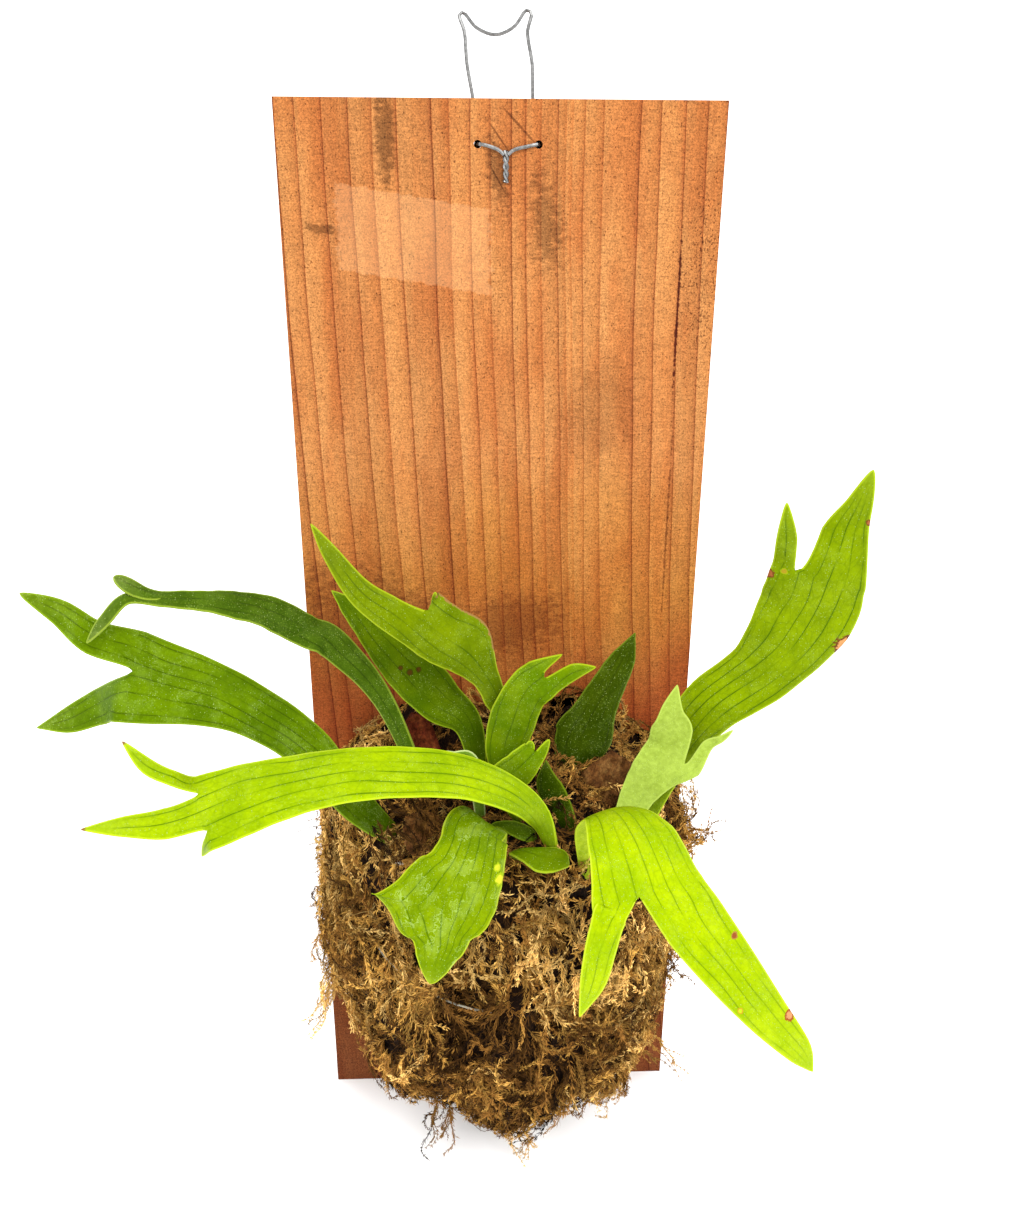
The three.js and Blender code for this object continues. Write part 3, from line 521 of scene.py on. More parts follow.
# %% Frond stations
FRONDS = {
    "frond_left_forked": {
        "slot": "mature_frond", "face": [(0.3, -0.8, 0.5), (0.1, -0.8, 0.6)],
        "stem": [(-40, -78, 190, 5), (-65, -84, 220, 15), (-84, -90, 253, 19), (-112, -96, 278, 24),
                 (-150, -100, 294, 21, 17)],
        "lobes": [(2, [(-165, -101, 279, 15), (-177, -102, 274, 11), (-190, -103, 271, 3)]),
                  (2, [(-163, -100, 309, 14), (-175, -100, 320, 10), (-189, -100, 328, 5)])],
    },
    "frond_left_arching": {
        "slot": "dark_frond", "face": [(-0.4, -0.7, 0.6), (0, -0.7, 0.7), (0.1, -0.7, 0.7)],
        "stem": [(-28, -72, 194, 5), (-52, -60, 256, 9), (-73, -62, 287, 14), (-85, -67, 297, 15),
                 (-99, -75, 309, 15), (-111, -84, 316, 13), (-122, -92, 321, 9), (-135, -100, 325, 7)],
        "lobes": [(2, [(-146, -107, 328, 5), (-154, -112, 321, 5), (-160, -117, 314, 3)]),
                  (2, [(-142, -104, 330, 6), (-150, -107, 337, 8)])],
    },
    "frond_front_left": {
        "slot": "fresh_frond", "face": [(-0.4, -0.6, 0.7), (0, -0.6, 0.8), (0.1, -0.7, 0.7)],
        "stem": [(23, -93, 194, 4), (12, -106, 229, 11), (-10, -114, 249, 18), (-37, -122, 259, 21),
                 (-68, -130, 262, 23), (-94, -136, 259, 26), (-117, -140, 253, 30)],
        "lobes": [(1, [(-119, -142, 235, 3)]),
                  (2, [(-131, -144, 251, 12), (-145, -147, 252, 8), (-160, -150, 253, 3)]),
                  (1, [(-128, -139, 268, 6), (-137, -137, 272, 6), (-146, -134, 281, 3)])],
    },
    "frond_upper_left": {
        "slot": "mature_frond", "face": [(0, -0.9, 0.4)],
        "stem": [(-5, -71, 203, 4), (0, -74, 256, 8), (-4, -75, 267, 10), (-10, -77, 279, 5, 8),
                 (-19, -79, 290, 8, 17), (-28, -81, 298, 10, 16), (-37, -83, 305, 9, 17)],
        "lobes": [(3, [(-50, -86, 314, 14), (-60, -89, 324, 11), (-69, -93, 340, 7), (-76, -96, 354, 3)]),
                  (1, [(-29, -82, 320, 3)])],
    },
    "frond_behind_left": {
        "slot": "dark_frond", "face": [(0, -0.9, 0.4)],
        "stem": [(-10, -69, 202, 4), (-15, -64, 246, 12), (-29, -60, 260, 21), (-43, -56, 275, 23),
                 (-56, -52, 289, 17), (-67, -49, 300, 10), (-76, -47, 308, 3)],
    },
    "frond_centre_forked": {
        "slot": "mature_frond", "face": [(0, -0.95, 0.3)],
        "stem": [(6, -78, 204, 4), (0, -81, 239, 15), (2, -82, 257, 20), (8, -86, 275, 19),
                 (16, -88, 284, 18)],
        "lobes": [(2, [(23, -90, 295, 3)]),
                  (2, [(28, -90, 287, 7), (37, -92, 290, 3)])],
    },
    "frond_centre_small": {
        "slot": "fresh_frond", "face": [(0, -0.95, 0.3)],
        "stem": [(12, -85, 203, 4), (1, -90, 230, 12), (0, -91, 236, 16), (6, -93, 244, 15),
                 (12, -94, 252, 11)],
        "lobes": [(2, [(10, -94, 257, 4)]),
                  (2, [(18, -95, 258, 4)])],
    },
    "frond_centre_young": {
        "slot": "pale_frond", "face": [(0, -0.9, 0.4)],
        "stem": [(-10, -85, 200, 3), (-14, -88, 241, 7), (-23, -89, 247, 5), (-30, -90, 249, 3)],
    },
    "frond_centre_curled": {
        "slot": "dark_frond", "face": [(-0.4, -0.9, 0.2)],
        "stem": [(32, -84, 193, 4), (28, -87, 208, 9), (23, -84, 220, 13), (19, -81, 229, 11),
                 (18, -79, 239, 3)],
    },
    "frond_behind_right": {
        "slot": "dark_frond", "face": [(0, -0.95, 0.3)],
        "stem": [(35, -64, 198, 5), (32, -62, 229, 16), (36, -59, 240, 13, 14), (41, -56, 251, 9, 11),
                 (48, -51, 261, 8, 8), (55, -46, 272, 6, 6), (61, -42, 284, 3)],
    },
    "frond_right_forked": {
        "slot": "fresh_frond", "face": [(-0.2, -0.8, 0.5), (-0.2, -0.9, 0.4)],
        "stem": [(58, -82, 194, 5), (71, -86, 241, 17), (85, -92, 270, 24), (105, -98, 291, 28),
                 (118, -103, 316, 38), (121, -107, 335, 37)],
        "lobes": [(1, [(106, -110, 351, 8), (104, -112, 366, 4)]),
                  (3, [(128, -111, 353, 18), (131, -114, 366, 10), (133, -118, 380, 5)])],
    },
    "frond_right_pale": {
        "slot": "pale_frond", "face": [(0.2, 0.9, -0.3)],
        "stem": [(46, -90, 195, 4), (56, -93, 226, 14), (62, -96, 240, 19), (69, -98, 252, 15, 11)],
        "lobes": [(1, [(84, -101, 257, 5), (89, -104, 262, 3), (93, -106, 267, 2)]),
                  (3, [(69, -100, 265, 17), (68, -102, 275, 9), (69, -104, 287, 3)])],
    },
    "frond_front_right": {
        "slot": "fresh_frond", "face": [(0, 0.9, 0.3), (-0.2, 0.5, 0.8), (0, -0.3, 0.95), (0, -0.8, 0.5)],
        "stem": [(35, -97, 189, 4), (32, -112, 223, 8), (40, -130, 243, 23), (46, -148, 242, 35),
                 (52, -160, 227, 21, 23)],
        "lobes": [(3, [(69, -168, 218, 25), (81, -176, 204, 22), (94, -183, 189, 17),
            (106, -188, 176, 11), (112, -190, 167, 4)]),
                  (2, [(36, -166, 220, 13), (33, -169, 209, 12), (30, -173, 197, 10), (25, -176, 183, 3)])],
    },
    "frond_front_centre": {
        "slot": "mature_frond",
        "face": [(0, 0.95, 0.2), (0.3, -0.4, 0.9), (0.1, -0.8, 0.6), (0, -0.9, 0.5), (0, -0.9, 0.5)],
        "stem": [(-3, -98, 193, 4), (-5, -107, 218, 10), (-9, -114, 228, 20), (-13, -120, 230, 27),
                 (-15, -130, 227, 14, 14), (-18, -136, 221, 16, 17), (-22, -141, 215, 18, 22),
                 (-24, -145, 208, 16, 32), (-26, -149, 203, 12, 21), (-27, -152, 198, 9, 13),
                 (-29, -155, 193, 6, 9), (-32, -158, 185, 4, 4)],
    },
    "frond_front_small": {
        "slot": "fresh_frond", "face": [(0, 0.9, 0.4), (-0.2, 0.1, 1), (0, -0.5, 0.9)],
        "stem": [(6, -98, 194, 3), (4, -104, 206, 5), (5, -109, 212, 9), (9, -114, 214, 12),
                 (15, -118, 214, 15), (21, -121, 215, 12), (25, -123, 214, 5)],
    },
    "frond_front_narrow": {
        "slot": "dark_frond", "face": [(-0.3, -0.5, 0.8)],
        "stem": [(-14, -90, 196, 3), (-8, -95, 212, 3), (-4, -96, 217, 3), (3, -96, 215, 7),
                 (10, -95, 211, 7), (14, -94, 208, 4)],
    },
    "shield_frond_right": {
        "slot": "shield_frond", "camber": 0.3, "face": [(0, -0.95, 0.3)],
        "stem": [(48, -73, 196, 16), (49, -72, 212, 30), (49, -70, 226, 28), (49, -66, 236, 8)],
    },
    "shield_frond_left": {
        "slot": "shield_frond", "camber": 0.3, "face": [(0, -0.95, 0.3)],
        "stem": [(-30, -58, 200, 8), (-36, -56, 226, 16), (-40, -54, 244, 13), (-42, -52, 250, 4)],
    },
    "shield_frond_front": {
        "slot": "shield_frond", "camber": 0.3, "face": [(0, -0.7, 0.7)],
        "stem": [(-28, -86, 194, 10), (-35, -92, 209, 20), (-40, -96, 218, 14), (-43, -98, 223, 4)],
    },
}
print("fronds:", len(FRONDS))

# %% [markdown]
# A Catmull-Rom curve passes through every station, with a slope at each that follows its two
# neighbours. It is written for whole arrays, so a curve is worked out at all its rows at once.

# %% Curves and directions
def smooth_curve(knots, places):
    """Points at the given places, where place 2.5 lies halfway between knots 2 and 3."""
    knots = np.vstack([2 * knots[0] - knots[1], knots, 2 * knots[-1] - knots[-2]])
    first = np.clip(np.floor(places).astype(int), 0, len(knots) - 4)
    t = (places - first)[:, None]
    a, b, c, d = (knots[first + i] for i in range(4))
    slope_b, slope_c = (c - a) / 2, (d - b) / 2
    return (
        b + slope_b * t + (3 * (c - b) - 2 * slope_b - slope_c) * t ** 2
        + (2 * (b - c) + slope_b + slope_c) * t ** 3
    )


def unit(vectors):
    return vectors / np.maximum(np.linalg.norm(vectors, axis=-1, keepdims=True), 1e-12)


def lengths_along(points):
    """How far each point but the first lies along the path."""
    return np.cumsum(np.linalg.norm(np.diff(points, axis=0), axis=1))


def blade_axes(knots, places, faces):
    """The directions across the blade and out of its upper side, at every row."""
    last = len(knots) - 1
    step = 1e-4 * last
    ahead = smooth_curve(knots, np.minimum(places + step, last))
    back = smooth_curve(knots, np.maximum(places - step, 0))
    along = unit(ahead - back)
    spread = np.minimum(places / last, 0.9999) * (len(faces) - 1)
    first = spread.astype(int)
    share = (spread - first)[:, None]
    face = faces[first] * (1 - share) + faces[first + 1] * share
    side = unit(np.cross(along, face))
    return side, unit(np.cross(side, along))


bend = smooth_curve(np.array([[0.0, 0.0], [1.0, 1.0], [2.0, 0.0]]), np.array([0.5, 1.0, 1.5]))
print("a curve over one bend:", bend.round(2).tolist())

# %% [markdown]
# A row of points crosses the blade on a shallow arch, its camber, and the margins rise and fall
# in turn. Every point also carries what the finish needs: its place across and along the blade,
# how far the margin is, the number of the vein, the gap between veins, and how near the tip it is.

# %% Rows across a blade
COLUMNS = 6  # columns of faces for each share of the blade's width
PLAIN_SHARES = 4  # shares of a blade without lobes
ROWS = 10  # rows of faces between two stations
BLADE_MM, ROOT_MM = 1.0, 3.0  # thickness of the blade and of its root
CAMBER, WAVE, WAVES = 0.12, 0.05, 2.5
GROWN = 0.4  # share of the stem from which the blade has its full form
TIP_SHARE = 0.10
TIP_ROWS = 1.2  # stations over which a blade without lobes counts as its tip
VEIN_GAP_MM = 6.0  # between the main veins, where the blade is widest
WOBBLE_MM = 0.075  # of the margins, which are never quite smooth
WOBBLE_BEATS = ((5.1, 11.7), (4.7, 12.3))  # of the two margins, in radians for each station


def row_places(intervals, round_tip):
    """Places of the rows, and how far each is narrowed: a round tip closes as a quarter circle."""
    step = np.arange(1, ROWS + 1) / ROWS
    places = (np.arange(intervals)[:, None] + step).ravel()
    narrow = np.ones_like(places)
    if round_tip:
        angle = step * math.pi / 2
        places[-ROWS:] = intervals - 1 + np.sin(angle)
        narrow[-ROWS:] = np.maximum(np.cos(angle), TIP_SHARE)
    return places, narrow


def blade_rows(centre, axes, half, camber, ripple, columns):
    """Points in rows, how far each lies across the blade, and how far from its margin, in mm."""
    side, up = axes
    v = np.linspace(-1, 1, columns + 1)
    reach = np.where(v < 0, half[:, :1], half[:, 1:])
    lift = half.mean(1)[:, None] * (camber[:, None] * (1 - v ** 2) + ripple[:, None] * v ** 3)
    across = v * reach
    points = centre[:, None] + side[:, None] * across[..., None] + up[:, None] * lift[..., None]
    return points, across, (1 - np.abs(v)) * reach


def add_rows(sheet, before=None, **values):
    """Adds rows of points and their values to a sheet, and joins them to a row before them."""
    rows, columns = values["points"].shape[:2]
    number = sum(map(len, sheet["points"])) + np.arange(rows * columns).reshape(rows, columns)
    for key, value in values.items():
        full = np.broadcast_to(value, (rows, columns, *value.shape[2:]))
        sheet[key].append(full.reshape(rows * columns, -1))
    last = number[-1]
    if before is not None:
        number = np.vstack([before, number])
    corners = (number[:-1, :-1], number[:-1, 1:], number[1:, 1:], number[1:, :-1])
    sheet["faces"].append(np.stack(corners, -1).reshape(-1, 4))
    return last


def places_of(stations):
    return np.array([station[:3] for station in stations], float)


def halves_of(stations):
    """The half widths on both sides of each station."""
    return np.array([s[3:5] if len(s) > 4 else (s[3] / 2, s[3] / 2) for s in stations], float)


def add_lobe(sheet, fork, cut, stations, outer_sides, camber):
    """Grows one lobe from its share of the stem's last row, which is the slice `cut`."""
    base, behind = fork["points"][cut], fork["behind"][cut]
    middle = (base[0] + base[-1]) / 2
    half_base = np.linalg.norm(base[0] - base[-1]) / 2
    knots = np.vstack([(behind[0] + behind[-1]) / 2, middle, places_of(stations)])
    halves = np.vstack([[[half_base] * 2] * 2, halves_of(stations)])
    spans = len(knots) - 2
    at, narrow = row_places(spans, True)
    # Where two lobes part, their inner margins close round the corner of the fork.
    outer = smooth_curve(halves, at + 1)[:, :1] * narrow[:, None]
    settled = np.sqrt(1 - (1 - np.minimum(at, 1)) ** 2)
    inner = half_base + (stations[0][3] / 2 * narrow - half_base) * settled
    half = np.where((at < 1)[:, None] & ~np.array(outer_sides), inner[:, None], outer)
    centre = smooth_curve(knots, at + 1)
    axes = blade_axes(knots, at + 1, fork["face"])
    columns = cut.stop - cut.start - 1
    arch = camber * np.minimum(1, (1 + at) / 2)
    points, across, edge = blade_rows(centre, axes, half, arch, 0 * at, columns)
    # The lobe's own arch starts apart from the stem's last row, and eases into it.
    own, own_across, _ = blade_rows(
        middle[None], blade_axes(knots, np.ones(1), fork["face"]), np.full((1, 2), half_base),
        np.array([camber / 2]), np.zeros(1), columns,
    )
    ease = (1 - np.clip(at, 0, 1)) ** 2 * (1 + 2 * np.clip(at, 0, 1))
    veins = fork["vein"][cut]
    add_rows(
        sheet, fork["number"][cut], points=points + ease[:, None, None] * (base - own[0]),
        up=axes[1][:, None], thick=np.full((1, 1), BLADE_MM),
        across=across + ease[:, None] * (fork["across"][cut] - own_across[0]),
        along=(fork["along"] + lengths_along(np.vstack([middle, centre])))[:, None], edge=edge,
        vein=veins[None], pitch=(half.sum(1) / (veins[-1] - veins[0]))[:, None],
        tip=(at / spans)[:, None],
    )


print("columns and rows:", COLUMNS, ROWS)

# %% [markdown]
# A sheet is the blade without its thickness: the stem, then the lobes that grow from its last
# row. A solid leaf is two copies of the sheet, a little apart, with a wall round the margin.

# %% Blade mesh
BLADE_MAP_MM = 250.0  # millimetres in one unit of the blade's map
EDGE_SHARE, EDGE_REACH_MM = 0.45, 2.5  # share of the thickness at the margin, and how wide it thins


def frond_sheet(name, spec):
    """The blade's middle sheet, with the finish values of every point, and its faces."""
    draw = np.random.default_rng(sum(name.encode()))
    lobes = spec.get("lobes", [])
    columns = COLUMNS * (sum(share for share, _ in lobes) or PLAIN_SHARES)
    knots = places_of(spec["stem"])
    faces = np.array(spec["face"] * 2 if len(spec["face"]) == 1 else spec["face"], float)
    last = len(knots) - 1
    places, narrow = row_places(last, not lobes)
    places, narrow = np.append(0, places), np.append(1, narrow)
    grown = np.minimum(places / last / GROWN, 1)
    half = smooth_curve(halves_of(spec["stem"]), places) * narrow[:, None]
    phase = draw.uniform(0, 2 * math.pi, (2, 2))
    wobble = np.sin(places[:, None, None] * WOBBLE_BEATS + phase).sum(-1)
    half = np.maximum(half + (WOBBLE_MM * grown * narrow)[:, None] * wobble, 0.2)
    camber = spec.get("camber", CAMBER)
    ripple = WAVE * grown * np.sin(2 * math.pi * WAVES * places / last)
    centre = smooth_curve(knots, places)
    axes = blade_axes(knots, places, faces)
    points, across, edge = blade_rows(centre, axes, half, camber * grown, ripple, columns)
    along = np.append(0, lengths_along(centre))
    veins = max(2, round(half.sum(1).max() / VEIN_GAP_MM))
    vein = np.linspace(0, veins, columns + 1)
    tip = 0 * places if lobes else np.clip((places - last + TIP_ROWS) / TIP_ROWS, 0, 1)
    sheet = defaultdict(list)
    number = add_rows(
        sheet, points=points, up=axes[1][:, None],
        thick=(ROOT_MM + (BLADE_MM - ROOT_MM) * grown)[:, None], across=across,
        along=along[:, None], edge=edge, vein=vein[None], pitch=(half.sum(1) / veins)[:, None],
        tip=tip[:, None],
    )
    fork = {
        "points": points[-1], "behind": points[-1 - ROWS // 2], "across": across[-1],
        "along": along[-1], "vein": vein, "number": number, "face": faces[[-1, -1]],
    }
    first = 0
    for order, (share, stations) in enumerate(lobes):
        cut = slice(first, first + share * COLUMNS + 1)
        add_lobe(sheet, fork, cut, stations, (order == 0, order == len(lobes) - 1), camber)
        first += share * COLUMNS
    return {key: np.concatenate(value).squeeze() for key, value in sheet.items()}


def leaf_solid(name, sheet, material):
    """Thickens a sheet: one face above, the same below, and a wall round the margin."""
    count = len(sheet["points"])
    thin = EDGE_SHARE + (1 - EDGE_SHARE) * np.clip(sheet["edge"] / EDGE_REACH_MM, 0, 1) ** 0.5
    offset = sheet["up"] * (sheet["thick"] * thin / 2)[:, None]
    points = np.vstack([sheet["points"] + offset, sheet["points"] - offset])
    faces = sheet["faces"]
    sides = np.stack([faces, np.roll(faces, -1, axis=1)], -1).reshape(-1, 2)
    margin = sides[~np.isin(sides @ (count, 1), sides @ (1, count))]
    wall = np.hstack([margin[:, ::-1], margin + count])
    every_face = np.vstack([faces, faces[:, ::-1] + count, wall])
    blade = mesh_object(name, points * MM + (0, 0, FOOT), every_face, material)
    flat = np.tile(np.stack([sheet["across"], sheet["along"]], 1), (2, 1)) / BLADE_MAP_MM + (0.5, 0)
    blade_map = blade.data.uv_layers.new(name="Blade")
    blade_map.uv.foreach_set("vector", flat[every_face.ravel()].astype(np.float32).ravel())
    values = {key: np.tile(sheet[key], 2) for key in ("vein", "pitch", "edge", "tip")}
    values["under"] = np.repeat([0.0, 1.0], count)
    for key, value in values.items():
        layer = blade.data.attributes.new(key, "FLOAT", "POINT")
        layer.data.foreach_set("value", value.astype(np.float32))
    return blade


widest = frond_sheet("frond_right_forked", FRONDS["frond_right_forked"])
print("points in the widest blade's sheet:", len(widest["points"]))

# %% [markdown]
# The skin of a frond is a waxy green cuticle over spongy flesh, with an IOR near 1.45 and a
# satin shine. Thin dark veins run along the blade and fork where it widens, and a faint finer
# net joins them. The margin is thin and pale. Tiny white star-shaped hairs dust the blade, most
# of all on its underside and tips. They are about 0.1 mm across and are drawn 0.3 mm wide.
#
# Veins could be painted on a map. Here the blade stored a vein number at every point, so a vein
# is a line halfway between two whole numbers, and it follows every bend and fork.

# %% Frond skin
VEIN_MM = 0.30
HAIR_CELL_MM = 0.8
NET_MM = (3.2, 7.0, 1.0)
MAP_PATTERNS = {  # size across and along the blade in mm, detail, roughness
    "vein_sway": ((22, 45, 1), 1.0, 0.5),
    "vein_fade": ((6, 26, 1), 2.0, 0.5),
}
SKIN_PATTERNS = {  # size in mm, detail, roughness
    "patches": ((14,) * 3, 4.0, 0.6),
    "mottle": ((1.6,) * 3, 3.0, 0.7),
    "crowd": ((9,) * 3, 2.0, 0.5),
    "bloom": ((2.2,) * 3, 3.0, 0.7),
    "dust": ((0.6,) * 3, 2.0, 0.7),
    "wear": ((7,) * 3, 3.0, 0.6),
    "ragged": ((1.8,) * 3, 3.0, 0.7),
}
# shade is how strong the painted shade towards the blade's root is.
PLAIN_LOOK = {
    "veins": 0.85, "shade": 0.35, "bloom": 0.3, "hairs": 0.12, "scuff": 0.05, "dry_tip": 2.0,
    "spots": [], "dry_edge": [],
}


def blade_values(add):
    """What the skin reads: the values of the blade's points and its patterns, and both places."""
    names = ("vein", "pitch", "edge", "tip", "under")
    known = {name: add("Attribute." + name, output="Fac") for name in names}
    flat_mm = add("VectorMath.SCALE", add("UVMap.Blade"), Scale=BLADE_MAP_MM)
    in_mm = add("VectorMath.SCALE", add("TexCoord", output="Object"), Scale=1 / MM)
    known |= noise_of(add, flat_mm, MAP_PATTERNS) | noise_of(add, in_mm, SKIN_PATTERNS)
    return known, flat_mm, in_mm


def vein_masks(add, known, flat_mm, strength):
    """Masks of the veins with their finer net, and of the darker halo beside the main veins."""
    sway = add("MapRange.SMOOTHSTEP", known["vein_sway"], 0.2, 0.8, -0.3, 0.3)
    place = add("Math.FRACT", add("Math.ADD", known["vein"], sway))
    aside = add("Math.ABSOLUTE", add("Math.SUBTRACT", place, 0.5))
    from_vein = add("Math.MULTIPLY", aside, known["pitch"])
    fade = add("MapRange.SMOOTHSTEP", known["vein_fade"], 0.34, 0.58, 0.25, 1.0)
    main = add("Math.MULTIPLY", add("MapRange.SMOOTHSTEP", from_vein, VEIN_MM, 0.08), fade)
    main = add("Math.MULTIPLY", main, add("MapRange.SMOOTHSTEP", known["pitch"], 1.2, 3.2))
    mesh_spot = add("VectorMath.DIVIDE", flat_mm, NET_MM)
    mesh_wall = add("TexVoronoi.DISTANCE_TO_EDGE", mesh_spot, 1.0)
    net = add("MapRange.SMOOTHSTEP", mesh_wall, 0.07, 0.01, 0.0, 0.2)
    inside = add("MapRange.SMOOTHSTEP", known["edge"], 0.8, 2.4)
    veins = add("Math.MULTIPLY", add("Math.MAXIMUM", main, net), inside)
    halo = add("Math.MULTIPLY", add("MapRange.SMOOTHSTEP", from_vein, 1.3, 0.1, 0.0, 0.18), fade)
    return [add("Math.MULTIPLY", mask, strength) for mask in (veins, halo)]


def hair_masks(add, known, in_mm, look):
    """Masks of the felt, and of the single hairs in it."""
    tip_felt = add("MapRange.SMOOTHSTEP", known["tip"], 0.35, 1.0, 0.0, look["bloom"])
    felt = add("Math.MAXIMUM", known["under"], tip_felt)
    # Each cell of the pattern may hold one white speck.
    cell = add("VectorMath.DIVIDE", in_mm, (HAIR_CELL_MM,) * 3)
    distance, cell_colour = add("TexVoronoi.F1", cell, 1.0).node.outputs[:2]
    chosen = add("SeparateColor", cell_colour)
    crowd = add("MapRange.SMOOTHSTEP", known["crowd"], 0.35, 0.7)
    chance = add("Math.MULTIPLY_ADD", crowd, 0.35, look["hairs"])
    chance = add("Math.ADD", chance, add("Math.MULTIPLY", felt, 0.4))
    kept = add("Math.LESS_THAN", chosen, chance)
    size = add("Math.MULTIPLY_ADD", chosen, -0.12, 0.26)
    near = add("Math.SUBTRACT", size, distance)
    return felt, add("Math.MULTIPLY", add("MapRange.SMOOTHSTEP", near, 0.0, 0.10), kept)


def rubbed_mask(add, known, strength):
    """Pale lines and cloudy patches in the bloom, where the blade was rubbed."""
    aside = add("Math.ABSOLUTE", add("Math.SUBTRACT", known["wear"], 0.5))
    line = add("MapRange.SMOOTHSTEP", aside, 0.016, 0.004)
    patch = add("MapRange.SMOOTHSTEP", known["wear"], 0.50, 0.58, 0.0, 0.35)
    where = add("MapRange.SMOOTHSTEP", known["crowd"], 0.45, 0.62, 0.0, strength)
    return add("Math.MULTIPLY", add("Math.MAXIMUM", line, patch), where)


def brown_places(add, known, in_mm, look):
    """Masks and colours of the dry tip, of spots with a darker rim, and of dry margins."""
    dry_from = look["dry_tip"]
    layers = [(add("MapRange.SMOOTHSTEP", known["tip"], dry_from, dry_from + 0.03), "6b4a26")]
    ragged = add("MapRange.SMOOTHSTEP", known["ragged"], 0.2, 0.8, -0.5, 0.5)
    from_front = add("VectorMath.MULTIPLY", in_mm, (1.0, 0.0, 1.0))
    for (x, height), radius, fill, rim in look["spots"]:
        reach = add("VectorMath.DISTANCE", from_front, (x, 0.0, height + FOOT / MM))
        reach = add("Math.DIVIDE", reach, radius)
        reach = add("Math.MULTIPLY_ADD", ragged, 0.5, reach)
        layers.append((add("MapRange.SMOOTHSTEP", reach, 1.06, 0.9), rim))
        layers.append((add("MapRange.SMOOTHSTEP", reach, 0.75, 0.6), fill))
    for (x, height), radius in look["dry_edge"]:
        reach = add("VectorMath.DISTANCE", from_front, (x, 0.0, height + FOOT / MM))
        near_edge = add("Math.MULTIPLY_ADD", ragged, 1.4, known["edge"])
        rim = add("MapRange.SMOOTHSTEP", near_edge, 1.1, 0.5)
        there = add("MapRange.SMOOTHSTEP", reach, radius, radius - 1)
        layers.append((add("Math.MULTIPLY", rim, there), "7a5c30"))
    return layers


def frond_skin(name, look):
    """Waxy green skin. The look holds five colours: deep, light, veins, rim and felt."""
    material, add = new_material("Frond_skin_" + name)
    deep, light, vein_and_root_shade_colour, rim_dye, felt_dye = look["skin_colours"].split()
    known, flat_mm, in_mm = blade_values(add)
    veins, halo = vein_masks(add, known, flat_mm, look["veins"])
    felt, speck = hair_masks(add, known, in_mm, look)
    mottle = add("MapRange.SMOOTHSTEP", known["mottle"], 0.25, 0.75, 0.90, 1.10)
    patches = add("MapRange.SMOOTHSTEP", known["patches"], 0.32, 0.68)
    skin = add("Mix", patches, deep, light)
    skin = add("Mix.MULTIPLY", 1.0, skin, add("CombineColor", mottle, mottle, mottle))
    along = add("SeparateXYZ", flat_mm).node.outputs["Y"]
    bloom = add("MapRange.SMOOTHSTEP", known["bloom"], 0.3, 0.8, 0.25, 0.85)
    dust = add("MapRange.SMOOTHSTEP", known["dust"], 0.54, 0.72, 0.0, 0.20)
    crowd = add("MapRange.SMOOTHSTEP", known["crowd"], 0.3, 0.6, 0.25, 1.0)
    layers = [
        (halo, vein_and_root_shade_colour),
        (veins, vein_and_root_shade_colour),
        # Painted shade: the blade is darker towards its root, in the colour of the veins.
        (add("MapRange.SMOOTHSTEP", along, 75, 5, 0.0, look["shade"]), vein_and_root_shade_colour),
        (add("MapRange.SMOOTHSTEP", known["edge"], 0.85, 0.25, 0.0, 0.75), rim_dye),
        (add("Math.MULTIPLY", felt, bloom), felt_dye),
        (add("Math.MULTIPLY", speck, 0.42), "b4c878"),
        (add("Math.MULTIPLY", dust, crowd), "a2bd44"),
        (rubbed_mask(add, known, look["scuff"]), "9cb468"),
        *brown_places(add, known, in_mm, look),
    ]
    for mask, dye in layers:
        skin = add("Mix", mask, skin, dye)
    sunk = add("Math.MULTIPLY_ADD", halo, -1.6, add("Math.MULTIPLY", veins, -0.5))
    raised = add("Math.ADD", sunk, add("Math.MULTIPLY", speck, 0.5))
    relief = add("Bump", 0.7, 0.0005, Height=add("Math.MULTIPLY_ADD", mottle, 0.5, raised))
    shine = add("Math.MULTIPLY_ADD", felt, 0.35, add("Math.MULTIPLY_ADD", mottle, 0.12, 0.36))
    add("OutputMaterial", add(
        "BsdfPrincipled", Base_Color=skin, Roughness=shine, IOR=1.45, Specular_IOR_Level=0.16,
        Specular_Tint="f4ff40", Normal=relief,
    ))
    return material


print("patterns in the skin:", [*MAP_PATTERNS, *SKIN_PATTERNS])
